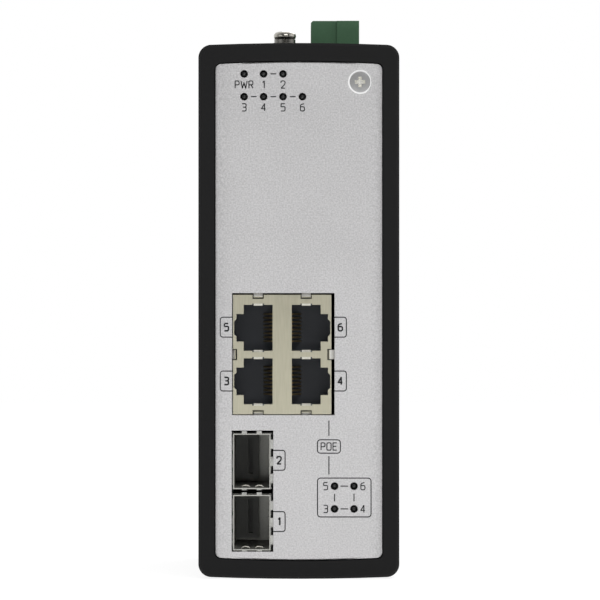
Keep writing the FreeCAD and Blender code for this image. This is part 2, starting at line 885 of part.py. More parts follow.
def make_housing():
    housing = new_body("housing")
    ends = ("housing_front", "housing_back")
    fill(housing, "front", *ends, rectangle("-housing_half", "housing_half", "housing_low", "housing_high"))
    round_edges(housing, "housing_corner", runs_along(Y_AXIS))
    # The bore keeps a thick block in each corner for a screw, which is also the outer wall of a board guide
    left = "main_back - guide_clearance"
    right = "power_back + guide_clearance"
    carve(
        housing,
        "front",
        *ends,
        outline(
            (left, "cavity_low"),
            (right, "cavity_low"),
            (right, "guide_low"),
            ("cavity_half", "guide_low"),
            ("cavity_half", "guide_high"),
            (right, "guide_high"),
            (right, "cavity_high"),
            (left, "cavity_high"),
            (left, "guide_high"),
            ("-cavity_half", "guide_high"),
            ("-cavity_half", "guide_low"),
            (left, "guide_low"),
        ),
    )
    ribs = (
        ("main_face + guide_clearance", "main_face + guide_clearance + guide_rib"),
        ("power_face - guide_clearance - guide_rib", "power_face - guide_clearance"),
    )
    for rib in ribs:
        fill(housing, "front", *ends, rectangle(*rib, "cavity_low - end_wall/2", "guide_low"))
        fill(housing, "front", *ends, rectangle(*rib, "guide_high", "cavity_high + end_wall/2"))
    carve(housing, "front", *ends, *[polygon(x, z, "screw_radius + screw_fit") for x, z in corner_places()])
    # Cooling grooves along both sides
    floor = "housing_half - fin_depth"
    beyond = "housing_half + fin_depth"
    mouth = "groove_mouth/2 + (groove_mouth - groove_floor)/2"
    groove = carve(
        housing,
        "front",
        *ends,
        outline(
            (floor, "groove_first_z - groove_floor/2"),
            (beyond, f"groove_first_z - ({mouth})"),
            (beyond, f"groove_first_z + ({mouth})"),
            (floor, "groove_first_z + groove_floor/2"),
        ),
        outline(
            (f"-({floor})", "groove_first_z + groove_floor/2"),
            (f"-({beyond})", f"groove_first_z + ({mouth})"),
            (f"-({beyond})", f"groove_first_z - ({mouth})"),
            (f"-({floor})", "groove_first_z - groove_floor/2"),
        ),
    )
    repeat(housing, groove, "V", "groove_pitch", "groove_count")
    # Top wall: the plug's opening and the hole for the ground insert
    carve(
        housing,
        "top",
        "guide_high",
        "housing_high",
        rectangle(
            "plug_left - plug_opening_gap",
            "plug_right + plug_opening_gap",
            "plug_front - plug_opening_gap",
            "plug_back + plug_opening_gap",
        ),
    )
    carve(
        housing,
        "top",
        "guide_high",
        "cavity_high",
        rectangle(
            "header_left - plug_opening_gap",
            "power_face",
            "header_front - plug_opening_gap",
            "header_back + plug_opening_gap",
        ),
    )
    insert_hole = polygon("ground_x", "ground_y", "insert_radius", HEXAGON)
    carve(housing, "top", "cavity_high", "housing_high", insert_hole)
    # Grooves that the bezel's snap beads drop into
    bead_top = "tongue_outer + bead_height + bead_clearance"
    for bead_left, bead_right in both_sides("tongue_outer", bead_top):
        carve(
            housing,
            "front",
            "bead_start - bead_clearance",
            "bead_end + bead_clearance",
            rectangle(bead_left, bead_right, "tongue_low - bead_clearance", "tongue_high + bead_clearance"),
        )


def make_rear_plate():
    plate = new_body("rear_plate")
    ends = ("housing_back", "rear_back")
    fill(plate, "front", *ends, rectangle("-housing_half", "housing_half", "housing_low", "housing_high"))
    round_edges(plate, "housing_corner", runs_along(Y_AXIS))
    carve(plate, "front", *ends, *[polygon(x, z, "screw_hole_radius") for x, z in corner_places()])
    carve(plate, "front", *ends, *[polygon(x, z, "screw_radius + screw_fit") for x, z in clip_screw_places()])


def make_rear_screws():
    node("rear_screws", group(*[pan_screw(x, "rear_back", z) for x, z in corner_places()]))


# Rail clip
def clip_screw_places():
    return [(x, "clip_centre_z") for x in ("-clip_screw_spread/2", "clip_screw_spread/2")]


def make_rail_clip():
    clip = new_body("rail_clip")
    fill(
        clip,
        "side",
        "-clip_width/2",
        "clip_width/2",
        outline(
            ("rear_back", "clip_low"),
            ("clip_back", "clip_low"),
            ("clip_back", "lip_low - hook_lip/2"),
            ("lip_face", "lip_low"),
            ("lip_face", "slot_low"),
            ("rail_face", "slot_low"),
            ("rail_face", "slot_high"),
            ("lip_face", "slot_high"),
            ("lip_face", "lip_high"),
            ("clip_back", "lip_high + hook_lip/2"),
            ("clip_back", "clip_high"),
            ("rear_back", "clip_high"),
        ),
    )
    places = clip_screw_places()
    carve(clip, "front", "rear_back", "rail_face", *[polygon(x, z, "screw_hole_radius") for x, z in places])
    wells = [polygon(x, z, "pan_head_radius + screw_fit") for x, z in places]
    carve(clip, "front", "clip_screw_seat", "rail_face", *wells)


def make_clip_spring():
    """Bowed leaf of spring steel in the lower slot: two feet on its floor and a crest under the rail."""
    spring = new_body("clip_spring")
    slot_middle = "(rail_face + lip_face)/2"
    foot_end = "spring_span/2 - spring_foot"
    crest = "spring_crest/2"
    top = "rail_low"
    fill(
        spring,
        "front",
        f"{slot_middle} - spring_width/2",
        f"{slot_middle} + spring_width/2",
        outline(
            ("-spring_span/2", "slot_low"),
            (f"-({foot_end})", "slot_low"),
            (f"-({crest})", f"{top} - spring_thick"),
            (crest, f"{top} - spring_thick"),
            (foot_end, "slot_low"),
            ("spring_span/2", "slot_low"),
            ("spring_span/2", "slot_low + spring_thick"),
            (foot_end, "slot_low + spring_thick"),
            (crest, top),
            (f"-({crest})", top),
            (f"-({foot_end})", "slot_low + spring_thick"),
            ("-spring_span/2", "slot_low + spring_thick"),
        ),
    )


def make_clip_screws():
    node("clip_screws", group(*[pan_screw(x, "clip_screw_seat", z) for x, z in clip_screw_places()]))


# Boards
def pole_places():
    return [f"first_pole_y + {i}*pole_pitch" for i in range(round(value("pole_count")))]


def make_boards():
    span = ("board_front", "board_end")
    rise = ("cavity_low", "board_high")
    node("main_board", block(("main_back", "main_face"), span, rise))
    through = ("power_face", "power_back")
    tail_side = "pin_width + 2*pin_clearance"
    tail_height = around("header_low - pin_drop", tail_side)
    tail_holes = [block(through, around(y, tail_side), tail_height) for y in pole_places()]
    node("power_board", cut(block(through, span, rise), *tail_holes))


def make_riser():
    """Small board across the back that joins the two upright boards through a slotted socket on each."""
    depth = ("(riser_front + riser_back)/2 - socket_depth/2", "(riser_front + riser_back)/2 + socket_depth/2")
    slot = ("riser_front - socket_fit", "riser_back + socket_fit")
    rise = ("riser_low - socket_end", "riser_high + socket_end")
    gap = ("riser_low - socket_fit", "riser_high + socket_fit")
    node(
        "riser_socket_main",
        cut(
            block(("main_face", "main_face + socket_height"), depth, rise),
            block(("main_face + socket_floor", "main_face + socket_height"), slot, gap),
        ),
    )
    node(
        "riser_socket_power",
        cut(
            block(("power_face - socket_height", "power_face"), depth, rise),
            block(("power_face - socket_height", "power_face - socket_floor"), slot, gap),
        ),
    )
    node(
        "riser_board",
        block(
            ("main_face + socket_floor", "power_face - socket_floor"),
            ("riser_front", "riser_back"),
            ("riser_low", "riser_high"),
        ),
    )


# Stacked jack
def port_outline(inner, outer, z, side):
    """A port's mouth with its stepped latch channel; side is + or - for the way the latch faces along X."""
    half = "port_width/2"
    latch = f"{outer} {side} latch_depth"
    tip = f"{latch} {side} tip_depth"
    return outline(
        (inner, f"{z} - {half}"),
        (outer, f"{z} - {half}"),
        (outer, f"{z} - latch_width/2"),
        (latch, f"{z} - latch_width/2"),
        (latch, f"{z} - tip_width/2"),
        (tip, f"{z} - tip_width/2 + tip_depth"),
        (tip, f"{z} + tip_width/2 - tip_depth"),
        (latch, f"{z} + tip_width/2"),
        (latch, f"{z} + latch_width/2"),
        (outer, f"{z} + latch_width/2"),
        (outer, f"{z} + {half}"),
        (inner, f"{z} + {half}"),
    )


def port_outlines():
    draws = []
    for z in PORT_ROWS:
        draws.append(port_outline("near_port_inner", "near_port_outer", z, "-"))
        draws.append(port_outline("far_port_inner", "far_port_outer", z, "+"))
    return draws


def finger_notches(margin):
    """Notches at the shield's edges, one round each spring finger."""
    width = f"finger_width + 2*notch_margin + 2*{margin}"
    deep = f"notch_depth + {margin}"
    draws = []
    for x in ("near_port_mid", "far_port_mid"):
        draws.append(rectangle(*around(x, width), f"jack_high - ({deep})", "jack_high + notch_depth"))
        draws.append(rectangle(*around(x, width), "jack_low - notch_depth", f"jack_low + {deep}"))
    upright = around("jack_mid_z", width)
    draws.append(rectangle("jack_left - notch_depth", f"jack_left + {deep}", *upright))
    draws.append(rectangle(f"jack_right - ({deep})", "jack_right + notch_depth", *upright))
    return draws


def finger_outline(wall, side, gap):
    """A spring finger's edge in (Y, offset): from the wall it bows out to the cut-out and dips in again."""
    bulge = f"{gap} - finger_clearance"
    root = "jack_front + finger_reach"
    leave = f"{root} - finger_root"
    peak = "(panel_back + front)/2"
    tip = "jack_front + sheet_thick/2"
    steps = [
        (root, "0"),
        (leave, "0"),
        (peak, bulge),
        (tip, "-finger_dip"),
        (tip, "-finger_dip - sheet_thick"),
        (peak, f"{bulge} - sheet_thick"),
        (leave, "-sheet_thick"),
        (root, "-sheet_thick"),
    ]
    return [(y, f"{wall} {side} ({offset})") for y, offset in steps]


def inside_shield():
    return rectangle(
        "jack_left + sheet_thick",
        "jack_right - sheet_thick",
        "jack_low + sheet_thick",
        "jack_high - sheet_thick",
    )


def make_jack_shield():
    shield = new_body("jack_shield")
    outside = rectangle("jack_left", "jack_right", "jack_low", "jack_high")
    fill(shield, "front", "jack_front", "jack_back", outside)
    carve(shield, "front", "body_front", "jack_back", inside_shield())
    carve(shield, "front", "jack_front", "body_front", *port_outlines())
    carve(shield, "front", "jack_front", "jack_front + finger_reach - finger_root", *finger_notches("0"))
    # Spring fingers that ground the shield to the panel
    for x in ("near_port_mid", "far_port_mid"):
        width = around(x, "finger_width")
        fill(shield, "side", *width, outline(*finger_outline("jack_high", "+", "jack_gap_top")))
        fill(shield, "side", *width, outline(*finger_outline("jack_low", "-", "jack_gap_near")))
    width = around("jack_mid_z", "finger_width")
    for wall, side, gap in (("jack_left", "-", "jack_gap_near"), ("jack_right", "+", "jack_gap_far")):
        edge = [(x, y) for y, x in finger_outline(wall, side, gap)]
        fill(shield, "top", *width, outline(*edge))


def make_jack_body():
    body = new_body("jack_body")
    fill(body, "front", "body_front", "jack_back", inside_shield())
    carve(body, "front", "body_front", "port_back", *port_outlines())
    carve(body, "front", "body_front", "jack_front + finger_reach", *finger_notches("notch_margin"))


def make_jack_contacts():
    """Slanting spring contacts, one row in each port, from the port's inner wall to its back."""
    bars = []
    half = value("contact_width") / 2
    thick = value("contact_thick")
    rise = value("contact_rise")
    start = value("body_front") + value("contact_start")
    back = value("port_back")
    count = round(value("contact_count"))
    for wall, side in (("near_port_inner", -1), ("far_port_inner", 1)):
        x = value(wall)
        tip = x + side * rise
        corners = ((x, start), (x + side * thick, start), (tip + side * thick, back), (tip, back))
        for row in PORT_ROWS:
            for i in range(count):
                z = value(row) + (i - (count - 1) / 2) * value("contact_pitch")
                loop = [Vector(u, v, z - half) for u, v in corners]
                side_face = Part.Face(Part.makePolygon([*loop, loop[0]]))
                bars.append(side_face.extrude(Vector(0, 0, 2 * half)))
    contacts = doc.addObject("Part::Feature", "contacts")
    contacts.Shape = Part.makeCompound(bars)
    node("jack_contacts", contacts)


# Module cages
def make_cage(number, z):
    cage = new_body(f"module_cage_{number}")
    low = f"{z} - cage_width/2"
    high = f"{z} + cage_width/2"
    inside = (f"{low} + cage_sheet", f"{high} - cage_sheet")
    bore = rectangle("cage_left + cage_sheet", "cage_right - cage_sheet", *inside)
    fill(cage, "front", "cage_front", "cage_back", rectangle("cage_left", "cage_right", low, high))
    carve(cage, "front", "cage_front", "cage_back - cage_sheet", bore)
    # Board side: an opening over the edge socket
    socket_front = "cage_back - cage_sheet - edge_socket_length"
    carve(
        cage,
        "side",
        "cage_left",
        "cage_left + cage_sheet",
        rectangle(socket_front, "cage_back - cage_sheet", *inside),
    )
    socket_span = (socket_front, "cage_back - cage_sheet")
    socket_height = ("main_face", "main_face + edge_socket_height")
    slot_x = around("main_face + edge_socket_slot_x", "edge_socket_slot")
    slot_depth = (socket_front, f"{socket_front} + edge_socket_slot_depth")
    slot_width = around(z, "edge_socket_width - 2*edge_socket_end")
    node(
        f"edge_socket_{number}",
        cut(
            block(socket_height, socket_span, around(z, "edge_socket_width")),
            block(slot_x, slot_depth, slot_width),
        ),
    )
    make_cage_spring(number, z)


def tab_outline(wall, side, gap):
    """A grounding tab's edge in (Y, offset): from the band it bows out to the gap and turns in at its tip."""
    bulge = f"{gap} - spring_clearance"
    band = "cage_front + spring_band_start"
    peak = "(panel_back + front)/2"
    tip = "cage_front"
    steps = [
        (f"{band} + spring_band/2", "0"),
        (f"{band} + spring_band/2", "spring_sheet"),
        (band, "spring_sheet"),
        (peak, bulge),
        (tip, bulge),
        (tip, "0"),
        (f"{tip} + spring_sheet", "0"),
        (f"{tip} + spring_sheet", f"{bulge} - spring_sheet"),
        (peak, f"{bulge} - spring_sheet"),
        (band, "0"),
    ]
    return [(y, f"{wall} {side} ({offset})") for y, offset in steps]


def make_cage_spring(number, z):
    """Grounding collar: a band round the cage with tabs that reach forwards into the panel's cut-out."""
    collar = new_body(f"cage_spring_{number}")
    low = f"{z} - cage_width/2"
    high = f"{z} + cage_width/2"
    band = "cage_front + spring_band_start"
    fill(
        collar,
        "front",
        band,
        f"{band} + spring_band",
        rectangle(
            "cage_left - spring_sheet",
            "cage_right + spring_sheet",
            f"{low} - spring_sheet",
            f"{high} + spring_sheet",
        ),
        rectangle("cage_left", "cage_right", low, high),
    )
    for x in around("(cage_left + cage_right)/2", "spring_end_pitch"):
        width = around(x, "spring_end_tab")
        fill(collar, "side", *width, outline(*tab_outline(high, "+", "cage_gap_far")))
        fill(collar, "side", *width, outline(*tab_outline(low, "-", "cage_gap_near")))
    for place in (f"{z} - spring_side_pitch", z, f"{z} + spring_side_pitch"):
        width = around(place, "spring_side_tab")
        for wall, side, gap in (("cage_left", "-", "cage_gap_near"), ("cage_right", "+", "cage_gap_far")):
            fill(collar, "top", *width, outline(*[(x, y) for y, x in tab_outline(wall, side, gap)]))


# Lamps
def make_lamps():
    """A lamp in each panel hole, on the face of a block that its board carries."""
    for label, place in lamp_places().items():
        node(label, prism("y", ("lamp_front", "holder_face"), place, "lamp_radius"))
    depth = ("holder_face", "holder_end")
    upper_end = f"main_lamp_x + {max(len(names) for names, first_x, z in LAMP_ROWS) - 1}*lamp_pitch"
    upper_rise = ("lamp_upper_z - lamp_row_pitch - holder_margin", "lamp_upper_z + holder_margin")
    lower_rise = ("lamp_lower_z - lamp_row_pitch - holder_margin", "lamp_lower_z + holder_margin")
    node("lamp_holder_upper", block(("main_face", f"{upper_end} + holder_margin"), depth, upper_rise))
    lower_start = "power_lamp_x - lamp_pitch - holder_margin"
    node("lamp_holder_lower", block((lower_start, "power_face"), depth, lower_rise))


# Power inlet
def make_power_header():
    header = new_body("power_header")
    ends = ("header_front", "header_back")
    fill(
        header,
        "side",
        "header_left",
        "power_face",
        outline(
            (ends[0], "header_low - header_leg"),
            (f"{ends[0]} + header_end", "header_low - header_leg"),
            (f"{ends[0]} + header_end", "header_low"),
            (f"{ends[1]} - header_end", "header_low"),
            (f"{ends[1]} - header_end", "header_low - header_leg"),
            (ends[1], "header_low - header_leg"),
            (ends[1], "header_high"),
            (ends[0], "header_high"),
        ),
    )
    mouth = ("header_mouth_left", "header_mouth_right")
    carve(
        header,
        "top",
        "header_mouth_low",
        "header_high",
        rectangle(*mouth, f"{ends[0]} + header_wall", f"{ends[1]} - header_wall"),
    )
    pin_section = rectangle(*around("pin_x", "pin_width"), *around("first_pole_y", "pin_width"))
    pin_hole = carve(header, "top", "header_low", "header_mouth_low", pin_section)
    repeat(header, pin_hole, "V", "pole_pitch", "pole_count")
    pins = []
    for y in pole_places():
        width = around(y, "pin_width")
        tail_z = around("header_low - pin_drop", "pin_width")
        post = block(around("pin_x", "pin_width"), width, (tail_z[0], "header_mouth_low + pin_length"))
        tail = block(("pin_x", "power_back + pin_tail"), width, tail_z)
        pins.append(fuse(post, tail))
    node("header_pins", group(*pins))


def make_power_plug():
    plug = new_body("power_plug")
    fill(
        plug,
        "front",
        "plug_front",
        "plug_back",
        rectangle("plug_split", "plug_right", "header_high", "plug_high"),
    )
    fill(
        plug,
        "front",
        "plug_front + plug_step",
        "plug_back - plug_step",
        outline(
            ("plug_left", "header_high"),
            ("plug_split", "header_high"),
            ("plug_split", "plug_high"),
            ("plug_left + plug_slope", "plug_high"),
            ("plug_left", "plug_high - plug_slope"),
        ),
    )
    nose = ("header_mouth_left + plug_fit", "header_mouth_right - plug_fit")
    fill(
        plug,
        "front",
        "plug_front + plug_step",
        "plug_back - plug_step",
        rectangle(*nose, "header_high - plug_nose", "header_high"),
    )
    # Repeated along the poles: wire entry above, screw well at the side, pin socket below
    wire = carve(
        plug,
        "top",
        "wire_floor",
        "plug_high",
        rectangle(*around("wire_x", "wire_entry_width"), *around("first_pole_y", "wire_entry_length")),
    )
    repeat(plug, wire, "V", "pole_pitch", "pole_count")
    well = carve(
        plug,
        "side",
        "plug_left",
        "clamp_left",
        polygon("first_pole_y", "clamp_screw_z", "clamp_screw_radius + socket_fit"),
    )
    repeat(plug, well, "H", "pole_pitch", "pole_count")
    side = "pin_width + 2*plug_fit"
    socket = carve(
        plug,
        "top",
        "header_high - plug_nose",
        "header_mouth_low + pin_length + plug_fit",
        rectangle(*around("pin_x", side), *around("first_pole_y", side)),
    )
    repeat(plug, socket, "V", "pole_pitch", "pole_count")


def make_plug_clamps():
    """In each pole, a steel cage that grips the wire, and the slotted screw that closes it."""
    cages = []
    screws = []
    head_left = "plug_left + clamp_screw_sink"
    head_right = f"{head_left} + clamp_screw_thick"
    for y in pole_places():
        rise = ("wire_floor", "wire_floor + clamp_height")
        outer = block(around("wire_x", "wire_entry_width"), around(y, "wire_entry_length"), rise)
        gap_width = around("wire_x", "wire_entry_width - 2*clamp_wall")
        gap_length = around(y, "wire_entry_length - 2*clamp_wall")
        cages.append(cut(outer, block(gap_width, gap_length, rise)))
        head = prism("x", (head_left, head_right), (y, "clamp_screw_z"), "clamp_screw_radius")
        shank = prism("x", (head_right, "clamp_left"), (y, "clamp_screw_z"), "clamp_shank_radius")
        slot = block(
            (head_left, f"{head_left} + clamp_slot_depth"),
            around(y, "2*clamp_screw_radius"),
            around("clamp_screw_z", "clamp_slot_width"),
        )
        screws.append(cut(fuse(head, shank), slot))
    node("plug_clamps", group(*cages))
    node("plug_screws", group(*screws))


# Ground stud
def make_ground_stud():
    """Press-in insert with a hexagonal barrel, two washers and a pan-head screw, from the wall upwards."""
    axis = ("ground_x", "ground_y")
    bore = "screw_radius + screw_fit"
    flange = rod("z", ("housing_high", "insert_high"), axis, "insert_flange_radius")
    barrel = prism("z", ("cavity_high", "housing_high"), axis, "insert_radius", HEXAGON)
    node("ground_insert", cut(fuse(flange, barrel), rod("z", ("cavity_high", "insert_high"), axis, bore)))
    flat = ("insert_high", "washer_high")
    node("ground_washer", cut(rod("z", flat, axis, "washer_radius"), rod("z", flat, axis, bore)))
    lock = ("washer_high", "lock_washer_high")
    split = block(
        around("ground_x", "lock_washer_split"),
        ("ground_y - lock_washer_radius", "ground_y"),
        lock,
    )
    ring = rod("z", lock, axis, "lock_washer_radius")
    node("ground_lock_washer", cut(ring, rod("z", lock, axis, bore), split))
    shoulder = "lock_washer_high + ground_head_height/2"
    shank = rod("z", ("lock_washer_high - ground_shank_length", "lock_washer_high"), axis, "screw_radius")
    rim = rod("z", ("lock_washer_high", shoulder), axis, "ground_head_radius")
    crown = cone("z", (shoulder, "ground_head_high"), axis, "ground_head_radius", "ground_head_flat")
    drive = cross_recess("z", ("ground_head_high - recess_depth", "ground_head_high"), axis)
    node("ground_screw", cut(fuse(shank, rim, crown), *drive))


# Parts on the boards
def board_part(label, height, length, width):
    """Plain part on the main board, at the place named after it."""
    spans = (around(f"{label}_y", length), around(f"{label}_z", width))
    node(label, block(("main_face", f"main_face + {height}"), *spans))


def make_main_board_parts():
    chip_top = "main_face + switch_chip_height"
    board_part("switch_chip", "switch_chip_height", "switch_chip_side", "switch_chip_side")
    sink = new_body("heat_sink")
    fin_low = "switch_chip_z - (sink_fin_count - 1)*sink_fin_pitch/2"
    fill(
        sink,
        "side",
        chip_top,
        f"{chip_top} + sink_base",
        rectangle(*around("switch_chip_y", "sink_side"), *around("switch_chip_z", "sink_side")),
    )
    fin = fill(
        sink,
        "side",
        f"{chip_top} + sink_base/2",
        f"{chip_top} + sink_base + sink_fin_height",
        rectangle(*around("switch_chip_y", "sink_side"), *around(fin_low, "sink_fin_thick")),
    )
    repeat(sink, fin, "V", "sink_fin_pitch", "sink_fin_count")
    board_part("flash_chip", "flash_chip_height", "flash_chip_length", "flash_chip_width")
    board_part("crystal", "crystal_height", "crystal_length", "crystal_width")


def make_power_board_parts():
    node(
        "feed_chip",
        block(
            ("power_face - pse_chip_height", "power_face"),
            around("pse_chip_y", "pse_chip_side"),
            around("pse_chip_z", "pse_chip_side"),
        ),
    )
    coils = []
    for i in range(round(value("coil_count"))):
        z = f"coil_first_z + {i}*coil_pitch"
        height = ("power_face - coil_height", "power_face")
        coils.append(block(height, around("coil_y", "coil_side"), around(z, "coil_side")))
    node("coils", group(*coils))
    cans = []
    for i in range(round(value("capacitor_count"))):
        z = f"capacitor_first_z + {i}*capacitor_pitch"
        height = ("power_face - capacitor_height", "power_face")
        cans.append(prism("x", height, ("capacitor_y", z), "capacitor_radius"))
    node("capacitors", group(*cans))
    core_side = "(transformer_length - transformer_core)/2"
    node(
        "transformer",
        fuse(
            block(
                ("power_face - transformer_bobbin", "power_face"),
                around("transformer_y", "transformer_width"),
                around("transformer_z", "transformer_length"),
            ),
            block(
                ("power_face - transformer_height", "power_face"),
                around("transformer_y", "transformer_width + transformer_core"),
                around("transformer_z", core_side),
            ),
        ),
    )
    height = ("power_face - choke_height", "power_face")
    middle = ("choke_y", "choke_z")
    ring = prism("x", height, middle, "choke_radius")
    node("choke", cut(ring, prism("x", height, middle, "choke_hole_radius")))


make_front_bezel()
make_front_panel()
make_panel_screw()
make_housing()
make_rear_plate()
make_rear_screws()
make_rail_clip()
make_clip_spring()
make_clip_screws()
make_boards()
make_riser()
make_jack_shield()
make_jack_body()
make_jack_contacts()
for cage_number, cage_z in CAGES.items():
    make_cage(cage_number, cage_z)
make_lamps()
make_power_header()
make_power_plug()
make_plug_clamps()
make_ground_stud()
make_main_board_parts()
make_power_board_parts()
doc.recompute()

for thing in doc.Objects:
    if "Invalid" in thing.State or "Error" in thing.State:
        raise RuntimeError(f"{thing.Name} ({thing.Label}) failed: {thing.State}")
for part in nodes:
    if part.Shape.isNull() or not part.Shape.isValid() or not part.Shape.Solids:
        raise RuntimeError(f"{part.Label} has no valid solid")

os.makedirs("parts", exist_ok=True)
for part in nodes:
    part.Shape.exportStep(f"parts/{part.Label}.step")
print(f"{len(nodes)} sub-parts written")
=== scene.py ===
import json
import math

import bmesh
import bpy
from mathutils import Matrix, Vector
from mathutils.bvhtree import BVHTree


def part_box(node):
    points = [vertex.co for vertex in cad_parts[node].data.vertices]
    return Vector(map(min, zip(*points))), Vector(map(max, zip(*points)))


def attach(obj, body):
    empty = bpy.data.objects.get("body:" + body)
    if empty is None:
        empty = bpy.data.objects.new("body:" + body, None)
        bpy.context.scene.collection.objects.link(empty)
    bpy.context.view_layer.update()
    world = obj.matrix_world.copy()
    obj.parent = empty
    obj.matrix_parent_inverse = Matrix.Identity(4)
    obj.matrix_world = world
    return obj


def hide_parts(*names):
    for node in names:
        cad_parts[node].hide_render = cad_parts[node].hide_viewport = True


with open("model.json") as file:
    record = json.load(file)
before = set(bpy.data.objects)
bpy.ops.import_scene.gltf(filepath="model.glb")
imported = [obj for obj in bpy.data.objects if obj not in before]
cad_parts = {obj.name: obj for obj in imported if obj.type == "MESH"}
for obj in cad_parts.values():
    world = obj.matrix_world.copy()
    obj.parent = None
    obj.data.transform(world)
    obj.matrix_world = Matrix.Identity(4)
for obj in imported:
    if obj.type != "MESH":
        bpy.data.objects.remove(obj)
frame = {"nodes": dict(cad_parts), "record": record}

# Lengths are metres, written as millimetres times MM; X right, Y away from the camera, Z up.
MM = 0.001
BODY = "root"
nodes = frame["nodes"]
openings = {item["name"]: item["box_m"] for item in frame["record"]["physics"]["openings"]}
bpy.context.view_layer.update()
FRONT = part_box("front_bezel")[0].y

# Tolerances: points this close are one, depths this close are level, and lengths below the last are none
WELD = 1e-7
LEVEL = 1e-6
NO_LENGTH = 1e-9

# Camera: level, straight on, far enough for the photograph's flat perspective
CAMERA_DISTANCE = 1200 * MM
CAMERA_X = 0.3 * MM
CAMERA_Z = 72.85 * MM
CAMERA_CLIP = 20.0
VIEW_WIDTH = 156.66 * MM
SENSOR_WIDTH = 36.0

# Shading: faces that turn by more than this many degrees meet at a sharp edge
SHARP_ANGLE = 35
PANEL_SHARP_ANGLE = 20

# Materials: detail of the fine and the broad noise, the levels that span their range, samples for edges that
# seem round, and grain drawn out along an axis
FINE_DETAIL = 3.0
BROAD_DETAIL = 2.0
NOISE_LOW = 0.35
NOISE_HIGH = 0.65
EDGE_SAMPLES = 6
ALONG_X = (0.02, 1, 1)
ALONG_Y = (1, 0.02, 1)
ALONG_Z = (1, 1, 0.06)

# Panel: its roll is divided finely, its cut-outs have softened edges, and the screw's seat has a wider rim;
# the faces around the screw take a near-white finish, a painted highlight
ROLL_STEPS = 8
PANEL_EDGE = 0.07 * MM
PRINT_ROOM = 0.03 * MM
PRINT_ZONE = 1.2 * MM
SCREW_RIM = 0.1 * MM
SCREW_RIM_REACH = 3.4 * MM
SOFT_EDGE = {"segments": 2, "profile": 0.5, "affect": "EDGES"}

# Faces told by their normals: Y of those toward the camera, of the screw's seat, of a cut-out's wall and of
# the jack's bent fingers, and the least X of the panel's roll
FACING_FRONT = -0.9
SEAT_LEAN = (-0.8, -0.3)
WALL_LEAN = 0.3
# Bent fingers picked by this lean take the lighter nickel, a painted highlight
FINGER_LEAN = (-0.97, -0.15)
ROLL_LEAN = 0.01

# Print on the panel
INK_THICK = 0.02 * MM
LINE_WIDTH = 0.28 * MM
LINE_STEP = 0.5 * MM
LEAST_MITRE = 0.5
RAY_START = 10 * MM
DIGIT_HEIGHT = 1.9 * MM
TAG_STROKE = 0.42 * MM
LETTER_GAP = 0.26
LABEL_DROP = 2.8 * MM
DASH_LENGTH = 1.5 * MM
TAG_WIDTH = 3.15 * MM
TAG_HEIGHT = 5.2 * MM
TAG_CORNER = 0.75 * MM
PORT_STEP_SHARE = 0.2215
CAGE_TAG_RISE = 0.3 * MM
FEED_DIGIT_STEP = 2.33 * MM
FEED_FRAME_MARGIN_X = 4.45 * MM
FEED_FRAME_MARGIN_Z = 2.1 * MM
FEED_CORNER = 0.9 * MM
FEED_DASH = 2.0 * MM
FEED_WORD_X = 7.85 * MM
FEED_WORD_Z = 34.6 * MM
FEED_WORD_WIDTH = 6.0 * MM
FEED_WORD_HEIGHT = 3.5 * MM
FEED_LINE_UPPER = (41.4 * MM, 37.4 * MM)
FEED_LINE_LOWER = (32.1 * MM, 27.3 * MM)

# Strokes of the numerals and letters: width, corner radius and lines, for a height of 1
GLYPHS = {
    "1": (0.24, 0.03, [[(0.0, 0.78), (0.22, 1.0), (0.22, 0.0)]]),
    "2": (0.56, 0.22, [
        [(0.0, 0.72), (0.0, 1.0), (0.56, 1.0), (0.56, 0.56), (0.0, 0.0)],
        [(0.0, 0.0), (0.56, 0.0)],
    ]),
    "3": (0.56, 0.22, [
        [(0.0, 1.0), (0.56, 1.0), (0.56, 0.53), (0.15, 0.53)],
        [(0.3, 0.53), (0.56, 0.53), (0.56, 0.0), (0.0, 0.0)],
    ]),
    "4": (0.58, 0.02, [[(0.42, 0.0), (0.42, 1.0), (0.0, 0.3), (0.58, 0.3)]]),
    "5": (0.56, 0.22, [
        [(0.54, 1.0), (0.03, 1.0)],
        [(0.03, 1.0), (0.0, 0.58)],
        [(0.0, 0.58), (0.56, 0.62), (0.56, 0.0), (0.0, 0.0)],
    ]),
    "6": (0.56, 0.22, [[(0.5, 1.0), (0.0, 0.86), (0.0, 0.0), (0.56, 0.0), (0.56, 0.58), (0.0, 0.58)]]),
    "E": (0.52, 0.02, [[(0.52, 1.0), (0.0, 1.0), (0.0, 0.0), (0.52, 0.0)], [(0.0, 0.52), (0.46, 0.52)]]),
    "O": (0.58, 0.2, [[(0.29, 0.0), (0.58, 0.0), (0.58, 1.0), (0.0, 1.0), (0.0, 0.0), (0.29, 0.0)]]),
    "P": (0.54, 0.2, [[(0.0, 0.0), (0.0, 1.0)], [(0.0, 1.0), (0.54, 1.0), (0.54, 0.46), (0.0, 0.46)]]),
    "R": (0.56, 0.2, [
        [(0.0, 0.0), (0.0, 1.0)],
        [(0.0, 1.0), (0.54, 1.0), (0.54, 0.46), (0.0, 0.46)],
        [(0.28, 0.46), (0.56, 0.0)],
    ]),
    "W": (0.84, 0.02, [[(0.0, 1.0), (0.2, 0.0), (0.42, 0.75), (0.64, 0.0), (0.84, 1.0)]]),
}

# Jack: lips bent into the ports, each in a notch of the shield's face
MOUTH_MARGIN = 0.08 * MM
LIP_WIDTH = 2.3 * MM
LIP_REACH = 0.3 * MM
LIP_DEPTH = 1.4 * MM
LIP_THICK = 0.2 * MM
NOTCH_SIDE = 0.4 * MM
NOTCH_DEPTH = 0.35 * MM
SHEET = 0.3 * MM
CLEAR = 0.02 * MM
# Bent fingers this near the shield's face take the lighter nickel, a painted highlight
FINGER_DEPTH = 4.0 * MM

